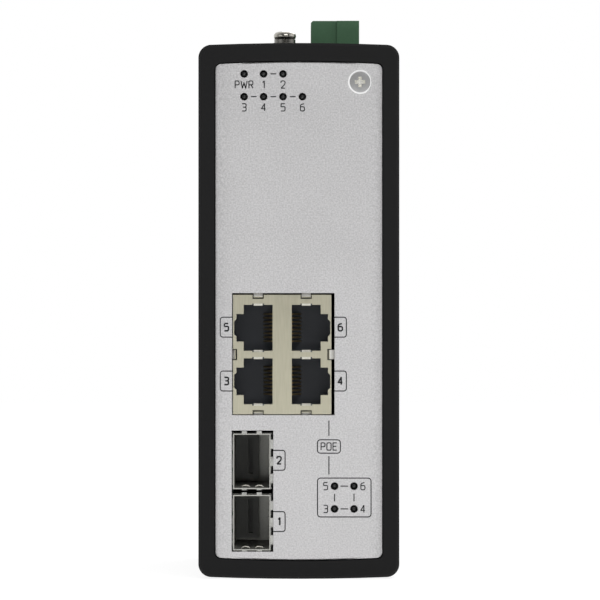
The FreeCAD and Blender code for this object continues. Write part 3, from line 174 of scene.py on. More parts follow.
# Cages: collar tabs, set back on the left, with gaps at steps of their pitch on the right, and arched spring
# tabs near the mouth's lower end, at shares of its width
COLLAR_PITCH = 4.5 * MM
COLLAR_TAB = 2.4 * MM
COLLAR_REACH = 4.9 * MM
COLLAR_SET_BACK = 2.2 * MM
COLLAR_GAPS = (-1.5, -0.5, 0.5, 1.5)
CATCH_PLACES = (0.34, 0.7)
CATCH_WIDTH = 2.1 * MM
CATCH_RISE = 0.5 * MM
CATCH_DEPTH = 2.6 * MM
CATCH_LENGTH = 3.0 * MM

# Round pieces
TURN_STEPS = 48
ARC_STEPS = 6
TO_FRONT = Matrix.Rotation(math.radians(90), 4, "X")
TO_BACK = Matrix.Rotation(math.radians(-90), 4, "X")
TO_LEFT = Matrix.Rotation(math.radians(-90), 4, "Y")

# Screws: outlines of the heads and sizes of the recesses, as shares of the head's radius and height
HEAD_SHAPES = {
    "pan": [(0.86, 0.0), (0.97, 0.08), (1.0, 0.3), (1.0, 0.5), (0.95, 0.75), (0.83, 0.93), (0.6, 1.0)],
    "round": [
        (0.8, 0.0), (0.93, 0.07), (0.99, 0.27), (1.0, 0.45),
        (0.96, 0.66), (0.84, 0.85), (0.6, 0.97), (0.3, 1.0),
    ],
    "countersunk": [(0.545, 0.0), (0.97, 0.9), (1.0, 0.94), (0.985, 0.985), (0.95, 1.0)],
    "cheese": [(0.9, 0.0), (1.0, 0.1), (1.0, 0.88), (0.94, 1.0)],
}
CROSS_ARM = 0.19
CROSS_REACH = 0.56
CROSS_TAPER = 0.55
CROSS_DEPTH = 0.7
SLOT_HALF = 0.14
SLOT_DEPTH = 0.45
RECESS_TOP = 0.95
CHAMFER = 0.3 * MM
PAN_HEAD = 1.7 * MM
SHANK = 1.5 * MM
ROUND_HEAD = 2.1 * MM
CLAMP_SHANK = 0.9 * MM
CLAMP_HEAD = 0.8 * MM

# Stage: a white background, a floor that is nearly as white, and a dimmer room on the camera's side
WHITE = (1, 1, 1, 1)
FLOOR_SIZE = 4.0
FLOOR_GLOW = 0.86
FLOOR_COLOR = (0.8, 0.8, 0.8, 1)
AMBIENT = 0.5
ROOM = 0.12
ROOM_DEPTHS = (-0.4, 0.3)
BACKGROUND_RAYS = ("Is Camera Ray", "Is Glossy Ray", "Is Transmission Ray")

# Lights: name, place, width and height in metres, and power in watts
LIGHTS = (
    ("key", (0.2, -1.0, 0.85), (0.7, 0.7), 4.5),
    ("low", (0.0, -0.5, 0.011), (0.4, 0.016), 0.12),
    ("fill", (-0.9, -0.8, 0.4), (0.8, 0.8), 1.6),
    ("side", (1.0, -0.4, 0.5), (0.8, 0.8), 1.6),
    ("back", (0.3, 0.9, 0.8), (0.8, 0.6), 4.0),
)


# Meshes
def new_object(name, data):
    """Object with the data, in the scene."""
    piece = bpy.data.objects.new(name, data)
    bpy.context.scene.collection.objects.link(piece)
    return piece


def mesh_object(name, build):
    """Object whose mesh is filled by build(bm), with outward faces."""
    bm = bmesh.new()
    build(bm)
    bmesh.ops.remove_doubles(bm, verts=bm.verts, dist=WELD)
    bmesh.ops.recalc_face_normals(bm, faces=bm.faces)
    mesh = bpy.data.meshes.new(name)
    bm.to_mesh(mesh)
    bm.free()
    if "custom_normal" in mesh.attributes:
        mesh.attributes.remove(mesh.attributes["custom_normal"])
    return new_object(name, mesh)


def node_mesh(bm, name):
    """Adds a node's mesh, with its faces joined at their edges."""
    bm.from_mesh(nodes[name].data)
    bmesh.ops.remove_doubles(bm, verts=bm.verts, dist=WELD)


def smooth(mesh, angle):
    """Smooth shading that stays sharp where faces turn by more than the angle."""
    for polygon in mesh.polygons:
        polygon.use_smooth = True
    mesh.set_sharp_from_angle(angle=math.radians(angle))


def solid_prism(bm, loop, offset, taper=1.0):
    """Closed solid between a loop of points and the same loop moved by offset, tapered about its middle."""
    centre = sum((Vector(point) for point in loop), Vector()) / len(loop)
    near = [bm.verts.new(point) for point in loop]
    far = [bm.verts.new(centre + (Vector(point) - centre) * taper + Vector(offset)) for point in loop]
    bm.faces.new(near)
    bm.faces.new(reversed(far))
    for i, vert in enumerate(near):
        after = (i + 1) % len(near)
        bm.faces.new((vert, far[i], far[after], near[after]))


def solid_block(bm, low, high):
    """Closed block between its lowest and its highest corner."""
    places = ((low[0], low[2]), (high[0], low[2]), (high[0], high[2]), (low[0], high[2]))
    solid_prism(bm, [(x, low[1], z) for x, z in places], (0, high[1] - low[1], 0))


def lathe(bm, profile, base):
    """Turns (radius, height) points about the base's Z axis; the profile starts and ends on the axis."""
    rings = []
    for radius, height in profile:
        if radius < NO_LENGTH:
            rings.append([bm.verts.new(base @ Vector((0, 0, height)))])
            continue
        ring = []
        for i in range(TURN_STEPS):
            turn = 2 * math.pi * i / TURN_STEPS
            point = Vector((radius * math.cos(turn), radius * math.sin(turn), height))
            ring.append(bm.verts.new(base @ point))
        rings.append(ring)
    for lower, upper in zip(rings, rings[1:]):
        for i in range(TURN_STEPS):
            after = (i + 1) % TURN_STEPS
            corners = [lower[i % len(lower)], lower[after % len(lower)]]
            corners += [upper[after % len(upper)], upper[i % len(upper)]]
            bm.faces.new(list(dict.fromkeys(corners)))


def arc(centre, radius, start, end, steps=ARC_STEPS):
    """Points (u, v) on a circle from one angle to another, in degrees."""
    points = []
    for i in range(steps + 1):
        turn = math.radians(start + (end - start) * i / steps)
        points.append((centre[0] + radius * math.cos(turn), centre[1] + radius * math.sin(turn)))
    return points


def islands(node):
    """(lowest, highest) corner of each separate solid in a node."""
    bm = bmesh.new()
    node_mesh(bm, node)
    waiting = set(bm.verts)
    boxes = []
    while waiting:
        edge_of_search = [waiting.pop()]
        found = list(edge_of_search)
        while edge_of_search:
            vert = edge_of_search.pop()
            for edge in vert.link_edges:
                other = edge.other_vert(vert)
                if other in waiting:
                    waiting.remove(other)
                    edge_of_search.append(other)
                    found.append(other)
        low = Vector([min(vert.co[k] for vert in found) for k in range(3)])
        high = Vector([max(vert.co[k] for vert in found) for k in range(3)])
        boxes.append((low, high))
    bm.free()
    return sorted(boxes, key=lambda box: tuple(box[0]))


def cut_away(piece, tool):
    """Takes the tool's volume out of the piece and removes the tool."""
    modifier = piece.modifiers.new("cut", "BOOLEAN")
    modifier.operation = "DIFFERENCE"
    modifier.solver = "EXACT"
    modifier.object = tool
    bpy.context.view_layer.update()
    done = bpy.data.meshes.new_from_object(piece.evaluated_get(bpy.context.evaluated_depsgraph_get()))
    bm = bmesh.new()
    bm.from_mesh(done)
    bmesh.ops.dissolve_degenerate(bm, edges=bm.edges, dist=WELD)
    bm.to_mesh(done)
    bm.free()
    piece.modifiers.clear()
    piece.data = done
    bpy.data.objects.remove(tool)


def middle(node):
    """Centre of a node's box."""
    low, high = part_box(node)
    return (low + high) / 2


# Materials
def add_node(tree, kind, inputs=None, **settings):
    """Shader node with its settings and its inputs, each a number, a colour or another node's output."""
    node = tree.nodes.new(kind)
    for name, setting in settings.items():
        setattr(node, name, setting)
    for name, source in (inputs or {}).items():
        if isinstance(source, bpy.types.NodeSocket):
            tree.links.new(source, node.inputs[name])
        else:
            node.inputs[name].default_value = source
    return node


def shade(color, factor):
    """The colour, lighter or darker by a factor."""
    return (*[min(1.0, channel * factor) for channel in color], 1.0)


def finish(name, color, roughness, *, metallic=0.0, specular=0.5, grain=0.3, streak=(1, 1, 1), spread=0.12,
           mottle=12.0, cloud=0.4, rough_spread=0.06, bump=0.15, relief=0.03, edge=0.0, coat=0.0):
    """Material with a fine grain and a broad mottle, both in millimetres, in its colour and gloss.

    The grain also gives its relief. cloud is the mottle's share of the two, and edge the radius that edges
    seem to have.
    """
    material = bpy.data.materials.new(name)
    material.use_nodes = True
    tree = material.node_tree
    shader = tree.nodes["Principled BSDF"]
    shader.inputs["Metallic"].default_value = metallic
    shader.inputs["Specular IOR Level"].default_value = specular
    shader.inputs["Coat Weight"].default_value = coat
    place = add_node(tree, "ShaderNodeTexCoord").outputs["Object"]
    scales = [share / (grain * MM) for share in streak]
    fine_place = add_node(tree, "ShaderNodeMapping", {"Vector": place, "Scale": scales}).outputs["Vector"]
    fine_inputs = {"Vector": fine_place, "Scale": 1.0, "Detail": FINE_DETAIL}
    fine = add_node(tree, "ShaderNodeTexNoise", fine_inputs).outputs["Fac"]
    broad_inputs = {"Vector": place, "Scale": 1 / (mottle * MM), "Detail": BROAD_DETAIL}
    broad = add_node(tree, "ShaderNodeTexNoise", broad_inputs).outputs["Fac"]
    both = add_node(tree, "ShaderNodeMix", {"Factor": cloud, "A": fine, "B": broad}).outputs["Result"]
    level = {"Value": both, "From Min": NOISE_LOW, "From Max": NOISE_HIGH}
    share = add_node(tree, "ShaderNodeMapRange", level).outputs["Result"]
    tint = add_node(tree, "ShaderNodeValToRGB", {"Fac": share})
    tint.color_ramp.elements[0].color = shade(color, 1 - spread)
    tint.color_ramp.elements[1].color = shade(color, 1 + spread)
    tree.links.new(tint.outputs["Color"], shader.inputs["Base Color"])
    gloss = {**level, "To Min": roughness - rough_spread, "To Max": roughness + rough_spread}
    rough = add_node(tree, "ShaderNodeMapRange", gloss)
    tree.links.new(rough.outputs["Result"], shader.inputs["Roughness"])
    heights = {"Height": fine, "Strength": bump, "Distance": relief * MM}
    if edge:
        rounded = add_node(tree, "ShaderNodeBevel", {"Radius": edge * MM}, samples=EDGE_SAMPLES)
        heights["Normal"] = rounded.outputs["Normal"]
    grained = add_node(tree, "ShaderNodeBump", heights)
    tree.links.new(grained.outputs["Normal"], shader.inputs["Normal"])
    return material


MATERIALS = {
    "bezel": finish(
        "bezel_plastic", (0.0085, 0.0085, 0.0088), 0.6, specular=0.16, grain=0.22, bump=0.35, edge=0.3,
    ),
    "panel": finish(
        "blasted_aluminium", (0.60, 0.594, 0.598), 0.5, metallic=1.0, grain=0.4, spread=0.15, cloud=0.1,
        bump=0.45, edge=0.12,
    ),
    # Near-white finish for the faces around the panel's screw: a machined rim, brightened as a painted
    # highlight
    "cut": finish("machined_rim_painted_highlight", (0.96, 0.96, 0.96), 0.5, grain=0.2, spread=0.04, bump=0.05),
    "housing": finish(
        "black_extrusion", (0.016, 0.016, 0.017), 0.42, specular=0.35, grain=0.35, streak=ALONG_Y,
        spread=0.25, bump=0.25, relief=0.02, edge=0.2,
    ),
    "rear": finish("black_plate", (0.016, 0.016, 0.017), 0.46, specular=0.35, grain=0.2, bump=0.2, edge=0.2),
    "nickel": finish(
        "nickel_sheet", (0.455, 0.435, 0.338), 0.36, metallic=1.0, streak=ALONG_Z, spread=0.07, mottle=6,
        bump=0.12, relief=0.01, edge=0.06,
    ),
    # Lighter copy of the nickel: a painted highlight on the jack's bent fingers and in the panel screw's
    # recess
    "finger": finish("nickel_painted_highlight", (0.86, 0.85, 0.8), 0.4, metallic=0.8, grain=0.2, bump=0.05),
    # Nickel lighter than the shield's sheet, for the bent lips and the cages' spring tabs: nickel sheet
    # lightened as a painted highlight
    "lip": finish("nickel_lip_painted_highlight", (0.54, 0.53, 0.47), 0.34, metallic=1.0, grain=0.2, bump=0.1),
    "cage": finish(
        "cage_sheet", (0.42, 0.42, 0.39), 0.38, metallic=0.55, streak=ALONG_Y, spread=0.1, bump=0.1,
        relief=0.01, edge=0.06,
    ),
    # Collar sheet darker than the cage's: painted shade on its tabs, with a strong random mottle
    "collar": finish(
        "spring_collar_painted_shade", (0.35, 0.35, 0.333), 0.32, metallic=1.0, grain=0.5, spread=0.4, mottle=2.5,
        cloud=0.85, bump=0.02,
    ),
    "jack": finish("jack_plastic", (0.085, 0.092, 0.105), 0.5, specular=0.35, grain=0.15, bump=0.12),
    "slot": finish("socket_plastic", (0.34, 0.345, 0.335), 0.5, specular=0.4, grain=0.15, bump=0.12),
    # Gold plate darkened well below its own colour: painted shade deep inside the ports
    "gold": finish("gold_plate_painted_shade", (0.26, 0.2, 0.1), 0.45, metallic=0.45, grain=0.1, bump=0.05),
    "lamp": finish("dark_epoxy", (0.010, 0.011, 0.011), 0.12, bump=0.02, coat=0.2),
    "terminal": finish(
        "green_plastic", (0.049, 0.12, 0.061), 0.48, specular=0.3, grain=0.2, spread=0.1, bump=0.2, edge=0.12,
    ),
    "bright": finish(
        "bright_nickel", (0.62, 0.605, 0.56), 0.14, metallic=1.0, grain=0.2, bump=0.08, edge=0.08,
    ),
    "stud": finish("stud_nickel", (0.42, 0.405, 0.365), 0.15, metallic=1.0, grain=0.2, bump=0.08, edge=0.08),
    # Dark steel for the washers under the ground screw's head and for its recess: painted shade
    "washer": finish("washer_steel_painted_shade", (0.2, 0.195, 0.18), 0.28, metallic=1.0, grain=0.2, bump=0.1, edge=0.08),
    "satin": finish("satin_steel", (0.41, 0.41, 0.41), 0.4, metallic=1.0, grain=0.15, edge=0.08),
    "black_screw": finish("black_steel", (0.06, 0.06, 0.06), 0.34, metallic=1.0, grain=0.15, edge=0.1),
    "brass": finish("brass", (0.60, 0.47, 0.24), 0.3, metallic=1.0, grain=0.2, bump=0.1, edge=0.08),
    "clip": finish(
        "extruded_aluminium", (0.55, 0.55, 0.56), 0.36, metallic=1.0, streak=ALONG_X, bump=0.2, relief=0.02,
        edge=0.15,
    ),
    "spring": finish("spring_steel", (0.46, 0.45, 0.44), 0.28, metallic=1.0, grain=0.2, streak=ALONG_X),
    "board": finish("solder_mask", (0.012, 0.085, 0.04), 0.34, grain=0.4, mottle=4, spread=0.2),
    "chip": finish("black_epoxy", (0.014, 0.014, 0.014), 0.55, specular=0.4, grain=0.15, bump=0.2),
    "ferrite": finish("ferrite", (0.04, 0.04, 0.042), 0.5, specular=0.45, bump=0.3),
    "socket": finish("beige_plastic", (0.55, 0.50, 0.38), 0.5, specular=0.4, grain=0.2, bump=0.1),
    "ink": finish("black_ink", (0.02, 0.02, 0.022), 0.6, specular=0.2, grain=0.12, spread=0.3, bump=0.1),
}
NODE_FINISHES = {
    "bezel": ["front_bezel"],
    "housing": ["housing"],
    "rear": ["rear_plate"],
    "cage": ["module_cage_1", "module_cage_2"],
    "jack": ["jack_body"],
    "slot": ["edge_socket_1", "edge_socket_2"],
    "gold": ["jack_contacts", "header_pins"],
    "terminal": ["power_plug", "power_header"],
    "bright": ["plug_clamps", "crystal"],
    "washer": ["ground_lock_washer", "ground_washer"],
    "brass": ["ground_insert"],
    "clip": ["rail_clip", "heat_sink", "capacitors"],
    "spring": ["clip_spring"],
    "board": ["main_board", "power_board", "riser_board"],
    "chip": ["switch_chip", "flash_chip", "feed_chip", "coils", "lamp_holder_upper", "lamp_holder_lower"],
    "ferrite": ["transformer", "choke"],
    "socket": ["riser_socket_main", "riser_socket_power"],
}


def paint_nodes():
    """Gives the nodes that stay as they are their finishes."""
    for finish_name, members in NODE_FINISHES.items():
        for name in members:
            nodes[name].data.materials.clear()
            nodes[name].data.materials.append(MATERIALS[finish_name])


def add_piece(piece, finish_names, slot, *replaced, angle=SHARP_ANGLE):
    """Gives a new piece its finishes and its body, and hides the nodes that it stands for; slot is not used.
    """
    for finish_name in finish_names:
        piece.data.materials.append(MATERIALS[finish_name])
    smooth(piece.data, angle)
    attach(piece, BODY)
    if replaced:
        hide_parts(*replaced)


# Panel
panel_screw_axis = middle("panel_screw")


def by_panel_screw(vert):
    """True near the axis of the panel's screw."""
    return math.hypot(vert.co.x - panel_screw_axis.x, vert.co.z - panel_screw_axis.z) < SCREW_RIM_REACH


def on_roll(face):
    """True for the slightly turned faces along the panel's long sides."""
    return face.normal.y < FACING_FRONT and abs(face.normal.x) > ROLL_LEAN


def roll_verts(bm):
    """Corners of each of the roll's faces."""
    return [vert for face in bm.faces if on_roll(face) for vert in face.verts]


def round_roll(bm):
    """Divides the roll's faces and lays them on its true arc, which leaves the flat face in line with it."""
    face_y = min(vert.co.y for vert in bm.verts)
    edge = max(roll_verts(bm), key=lambda vert: abs(vert.co.x))
    flat = max(abs(vert.co.x) for vert in bm.verts if vert.co.y < face_y + LEVEL)
    width = abs(edge.co.x) - flat
    drop = edge.co.y - face_y
    radius = (width**2 + drop**2) / (2 * drop)
    for side in (-1, 1):
        for step in range(1, ROLL_STEPS):
            faces = [face for face in bm.faces if on_roll(face)]
            parts = dict.fromkeys(part for face in faces for part in (face, *face.edges, *face.verts))
            place = (side * (flat + width * step / ROLL_STEPS), 0, 0)
            bmesh.ops.bisect_plane(bm, geom=list(parts), plane_co=place, plane_no=(1, 0, 0))
    for vert in roll_verts(bm):
        reach = abs(vert.co.x) - flat
        if reach > 0:
            vert.co.y = face_y + radius - math.sqrt(radius**2 - reach**2)


def soften_cutouts(bm):
    """Small round on the edges between the flat face and its holes, and a wider rim at the screw's seat."""
    face_y = min(vert.co.y for vert in bm.verts)
    plain = []
    seat = []
    for edge in bm.edges:
        if len(edge.link_faces) != 2:
            continue
        front, side = sorted(face.normal.y for face in edge.link_faces)
        if all(by_panel_screw(vert) for vert in edge.verts):
            if front < FACING_FRONT and SEAT_LEAN[0] < side < SEAT_LEAN[1]:
                seat.append(edge)
        elif max(vert.co.y for vert in edge.verts) < face_y + LEVEL and abs(side) < WALL_LEAN:
            plain.append(edge)
    bmesh.ops.bevel(bm, geom=plain, offset=PANEL_EDGE, **SOFT_EDGE)
    bmesh.ops.bevel(bm, geom=seat, offset=SCREW_RIM, **SOFT_EDGE)


def settle(bm):
    """Puts points and faces in an order that is the same in each run."""
    for parts, place in (
        (bm.verts, lambda vert: tuple(vert.co)),
        (bm.faces, lambda face: tuple(face.calc_center_median())),
    ):
        ranks = {part: rank for rank, part in enumerate(sorted(parts, key=place))}
        parts.sort(key=lambda part: ranks[part])


def build_panel(bm):
    """The panel, with room for the print in front of it and, at its screw, the second finish, a painted
    highlight.
    """
    node_mesh(bm, "front_panel")
    for vert in bm.verts:
        if vert.co.y < FRONT + PRINT_ZONE:
            vert.co.y += PRINT_ROOM
    round_roll(bm)
    soften_cutouts(bm)
    # Faces around the screw take the near-white finish, a painted highlight on its rim
    for face in bm.faces:
        face.material_index = 1 if all(by_panel_screw(vert) for vert in face.verts) else 0
    settle(bm)


panel = mesh_object("front_panel_plate", build_panel)
panel_tree = BVHTree.FromPolygons(
    [vert.co.copy() for vert in panel.data.vertices],
    [tuple(polygon.vertices) for polygon in panel.data.polygons],
)


# Print
def panel_depth(x, z):
    """Y of the panel's face at a place seen from the front, or of its flat part over a cut-out."""
    hit = panel_tree.ray_cast(Vector((x, FRONT - RAY_START, z)), Vector((0, 1, 0)))[0]
    return hit.y if hit and hit.y < FRONT + PRINT_ZONE else FRONT + PRINT_ROOM


def dense(path):
    """The path with points close enough to follow the panel."""
    points = [path[0]]
    for start, end in zip(path, path[1:]):
        count = max(1, math.ceil(math.dist(start, end) / LINE_STEP))
        for i in range(1, count + 1):
            points.append(tuple(a + (b - a) * i / count for a, b in zip(start, end)))
    return points


def soften(path, radius):
    """The path with each corner replaced by a small curve."""
    points = [path[0]]
    for before, corner, after in zip(path, path[1:], path[2:]):
        start = Vector(before) - Vector(corner)
        end = Vector(after) - Vector(corner)
        start *= min(radius, start.length / 2) / start.length
        end *= min(radius, end.length / 2) / end.length
        for i in range(ARC_STEPS + 1):
            t = i / ARC_STEPS
            points.append(tuple(Vector(corner) + start * (1 - t) ** 2 + end * t**2))
    points.append(path[-1])
    return points


def ribbon(bm, path, width=LINE_WIDTH):
    """Thin printed line along (x, z) points, on the panel's face; a path that ends at its start is closed."""
    points = dense(path)
    closed = math.dist(points[0], points[-1]) < NO_LENGTH
    if closed:
        points.pop()
    rails = []
    for i, point in enumerate(points):
        before = points[i - 1] if i or closed else point
        after = points[(i + 1) % len(points)] if i + 1 < len(points) or closed else point
        into = Vector(point) - Vector(before)
        out = Vector(after) - Vector(point)
        along = (into.normalized() + out.normalized()).normalized()
        lead = into.normalized() if into.length else out.normalized()
        side = Vector((-along.y, along.x)) * (width / 2 / max(LEAST_MITRE, along.dot(lead)))
        y = panel_depth(*point)
        corners = []
        for sign, lift in ((1, INK_THICK), (-1, INK_THICK), (-1, 0), (1, 0)):
            corners.append(bm.verts.new((point[0] + sign * side.x, y - lift, point[1] + sign * side.y)))
        rails.append(corners)
    for here, there in zip(rails, rails[1:] + rails[:1] if closed else rails[1:]):
        for k in range(4):
            after = (k + 1) % 4
            bm.faces.new((here[k], here[after], there[after], there[k]))
    if not closed:
        bm.faces.new(rails[0])
        bm.faces.new(reversed(rails[-1]))


def rounded_box(x, z, width, height):
    """Closed box with round corners, from the middle of its lower side."""
    left = x - width / 2
    right = x + width / 2
    low = z - height / 2
    high = z + height / 2
    return soften([(x, low), (right, low), (right, high), (left, high), (left, low), (x, low)], FEED_CORNER)


def lettering(bm, text, x, z, width=LINE_WIDTH):
    """Printed text centred at (x, z), on the panel's face."""
    total = sum(GLYPHS[letter][0] for letter in text) + LETTER_GAP * (len(text) - 1)
    start = -total / 2
    for letter in text:
        advance, radius, strokes = GLYPHS[letter]
        for stroke in strokes:
            path = [(x + (start + u) * DIGIT_HEIGHT, z + (v - 0.5) * DIGIT_HEIGHT) for u, v in stroke]
            ribbon(bm, soften(path, radius * DIGIT_HEIGHT), width)
        start += advance + LETTER_GAP


def tags():
    """The numbered tags beside the ports and cages: label, cut-out edge, outer edge and Z."""
    jack_low, jack_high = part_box("jack_shield")
    port_step = (jack_high.z - jack_low.z) * PORT_STEP_SHARE
    jack_z = (jack_low.z + jack_high.z) / 2
    found = []
    for label, way, step in (("5", -1, 1), ("3", -1, -1), ("6", 1, 1), ("4", 1, -1)):
        edge = jack_low.x if way < 0 else jack_high.x
        found.append((label, edge, edge + way * TAG_WIDTH, jack_z + step * port_step))
    for label in ("1", "2"):
        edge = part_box(f"cage_spring_{label}")[1].x
        found.append((label, edge, edge + TAG_WIDTH, middle(f"module_cage_{label}").z + CAGE_TAG_RISE))
    return found


def print_numbers(bm):
    """Numerals and words at the lamps, the ports and the cages."""
    labels = {"lamp_power": "PWR"}
    for number in range(1, 7):
        labels[f"lamp_link_{number}"] = str(number)
    for lamp, label in labels.items():
        place = middle(lamp)
        lettering(bm, label, place.x, place.z - LABEL_DROP)
    for number, way in ((3, -1), (4, 1), (5, -1), (6, 1)):
        place = middle(f"lamp_feed_{number}")
        lettering(bm, str(number), place.x + way * FEED_DIGIT_STEP, place.z)
    for label, edge, outer, z in tags():
        lettering(bm, label, (edge + outer) / 2, z, TAG_STROKE)
    lettering(bm, "POE", FEED_WORD_X, FEED_WORD_Z)


def print_lines(bm):
    """Outlines of the tags, dashes between the lamps, and the frames and lines of the power lamps."""
    for _, edge, outer, z in tags():
        low = z - TAG_HEIGHT / 2
        high = z + TAG_HEIGHT / 2
        ribbon(bm, soften([(edge, low), (outer, low), (outer, high), (edge, high)], TAG_CORNER))
    for first, second in ((1, 2), (3, 4), (4, 5), (5, 6)):
        place = (middle(f"lamp_link_{first}") + middle(f"lamp_link_{second}")) / 2
        ribbon(bm, [(place.x - DASH_LENGTH / 2, place.z), (place.x + DASH_LENGTH / 2, place.z)])
    corner = middle("lamp_feed_3")
    opposite = middle("lamp_feed_6")
    x = (corner.x + opposite.x) / 2
    z = (corner.z + opposite.z) / 2
    for row in (corner.z, opposite.z):
        ribbon(bm, [(x - FEED_DASH / 2, row), (x + FEED_DASH / 2, row)])
    for column in (corner.x, opposite.x):
        ribbon(bm, [(column, z - FEED_DASH / 2), (column, z + FEED_DASH / 2)])
    width = opposite.x - corner.x + 2 * FEED_FRAME_MARGIN_X
    height = opposite.z - corner.z + 2 * FEED_FRAME_MARGIN_Z
    ribbon(bm, rounded_box(x, z, width, height))
    ribbon(bm, rounded_box(FEED_WORD_X, FEED_WORD_Z, FEED_WORD_WIDTH, FEED_WORD_HEIGHT))
    for top, bottom in (FEED_LINE_UPPER, FEED_LINE_LOWER):
        ribbon(bm, [(FEED_WORD_X, top), (FEED_WORD_X, bottom)])


# Jack
def port_edges():
    """Middle X, edge Z and inward direction of each port's upper and lower edge."""
    found = []
    for number in (3, 4, 5, 6):
        low, high = openings[f"port_{number}_mouth"]
        x = (low[0] + high[0]) / 2
        found.append((x, low[2] - MOUTH_MARGIN, 1))
        found.append((x, high[2] + MOUTH_MARGIN, -1))
    return found


def make_shield():
    """The jack's shield with a notch at each port edge, and the lips that are bent in there."""
    face_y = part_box("jack_shield")[0].y

    def notches(bm):
        half = LIP_WIDTH / 2 + NOTCH_SIDE
        for x, z, way in port_edges():
            ends = sorted((z - way * NOTCH_DEPTH, z + way * NOTCH_DEPTH))
            solid_block(bm, (x - half, face_y - SHEET, ends[0]), (x + half, face_y + SHEET, ends[1]))

    def lips(bm):
        under = LIP_REACH - LIP_THICK
        outline = [(0, -NOTCH_DEPTH), *arc((LIP_REACH, 0), LIP_REACH, 180, 90), (LIP_DEPTH, LIP_REACH)]
        outline += [(LIP_DEPTH, under), (LIP_REACH, under), (LIP_THICK, -NOTCH_DEPTH)]
        for x, z, way in port_edges():
            left = x - LIP_WIDTH / 2
            loop = [(left, face_y + depth, z + way * reach) for depth, reach in outline]
            solid_prism(bm, loop, (LIP_WIDTH, 0, 0))

    shield = mesh_object("jack_shield_sheet", lambda bm: node_mesh(bm, "jack_shield"))
    cut_away(shield, mesh_object("notches", notches))
    # Bent fingers near the shield's face take the lighter nickel, a painted highlight
    for polygon in shield.data.polygons:
        bent = FINGER_LEAN[0] < polygon.normal.y < FINGER_LEAN[1]
        polygon.material_index = 1 if bent and polygon.center.y < face_y + FINGER_DEPTH else 0
    add_piece(shield, ["nickel", "finger"], "nickel_sheet", "jack_shield")
    # The lips take the lighter nickel, a painted highlight
    add_piece(mesh_object("jack_lips", lips), ["lip"], "nickel_sheet")


# Cages
def make_collars():
    """The cages' collars, with wider gaps between the tabs on the right and shorter tabs on the left."""
    half = (COLLAR_PITCH - COLLAR_TAB) / 2
    for number in (1, 2):
        node = f"cage_spring_{number}"
        low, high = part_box(node)
        left_wall, right_wall = (corner.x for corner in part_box(f"module_cage_{number}"))
        z = middle(f"module_cage_{number}").z

        def gaps(bm):
            for step in COLLAR_GAPS:
                gap_z = z + step * COLLAR_PITCH
                near = (right_wall - CLEAR, low.y - CLEAR, gap_z - half)
                solid_block(bm, near, (high.x + CLEAR, low.y + COLLAR_REACH, gap_z + half))
            near = (low.x - CLEAR, low.y - CLEAR, low.z - CLEAR)
            solid_block(bm, near, (left_wall + CLEAR, low.y + COLLAR_SET_BACK, high.z + CLEAR))

        collar = mesh_object(f"cage_collar_{number}", lambda bm: node_mesh(bm, node))
        cut_away(collar, mesh_object("gaps", gaps))
        # The collar takes the darker sheet, painted shade
        add_piece(collar, ["collar"], "nickel_sheet", node)


def make_catches():
    """Two arched spring tabs on the lower wall of each cage, near its mouth."""
    for number in (1, 2):
        low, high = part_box(f"module_cage_{number}")

        def build(bm):
            floor = low.z + SHEET
            for share in CATCH_PLACES:
                x = low.x + (high.x - low.x) * share
                under = []
                for u, v in arc((0, 0), 1, 180, 0, 2 * ARC_STEPS):
                    under.append((x + u * CATCH_WIDTH / 2, low.y + CATCH_DEPTH, floor + v * CATCH_RISE))
                over = [(u, y, w + LIP_THICK) for u, y, w in reversed(under)]
                solid_prism(bm, under + over, (0, CATCH_LENGTH, 0))

        # The spring tabs take the lighter nickel, a painted highlight for their glints
        add_piece(mesh_object(f"cage_catches_{number}", build), ["lip"], "nickel_sheet")


# Lamps
def make_lamps():
    """Domed lens in place of each plain lamp."""
    for name in nodes:
        if not name.startswith("lamp_") or name.startswith("lamp_holder"):
            continue
        low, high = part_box(name)
        radius = (high.x - low.x) / 2
        length = high.y - low.y
        profile = [(0, 0), (radius, 0)] + arc((0, length - radius), radius, 0, 90)
        profile[-1] = (0, length)
        place = middle(name)
        base = Matrix.Translation((place.x, high.y, place.z)) @ TO_FRONT
        lens = mesh_object(f"{name}_lens", lambda bm: lathe(bm, profile, base))
        add_piece(lens, ["lamp"], "lamp", name)


# Screws
def cross_loop(radius, top):
    """Outline of a cross recess at a height."""
    arm = radius * CROSS_ARM
    reach = radius * CROSS_REACH
    quarter = [(arm, reach), (arm, arm), (reach, arm)]
    loop = []
    for turn in range(4):
        for u, v in quarter:
            for _ in range(turn):
                u, v = v, -u
            loop.append((u, v, top))
    return loop


def slot_loop(radius, top):
    """Outline of a slot across the head at a height."""
    half = radius * SLOT_HALF
    end = 2 * radius
    return [(-end, -half, top), (end, -half, top), (end, half, top), (-end, half, top)]


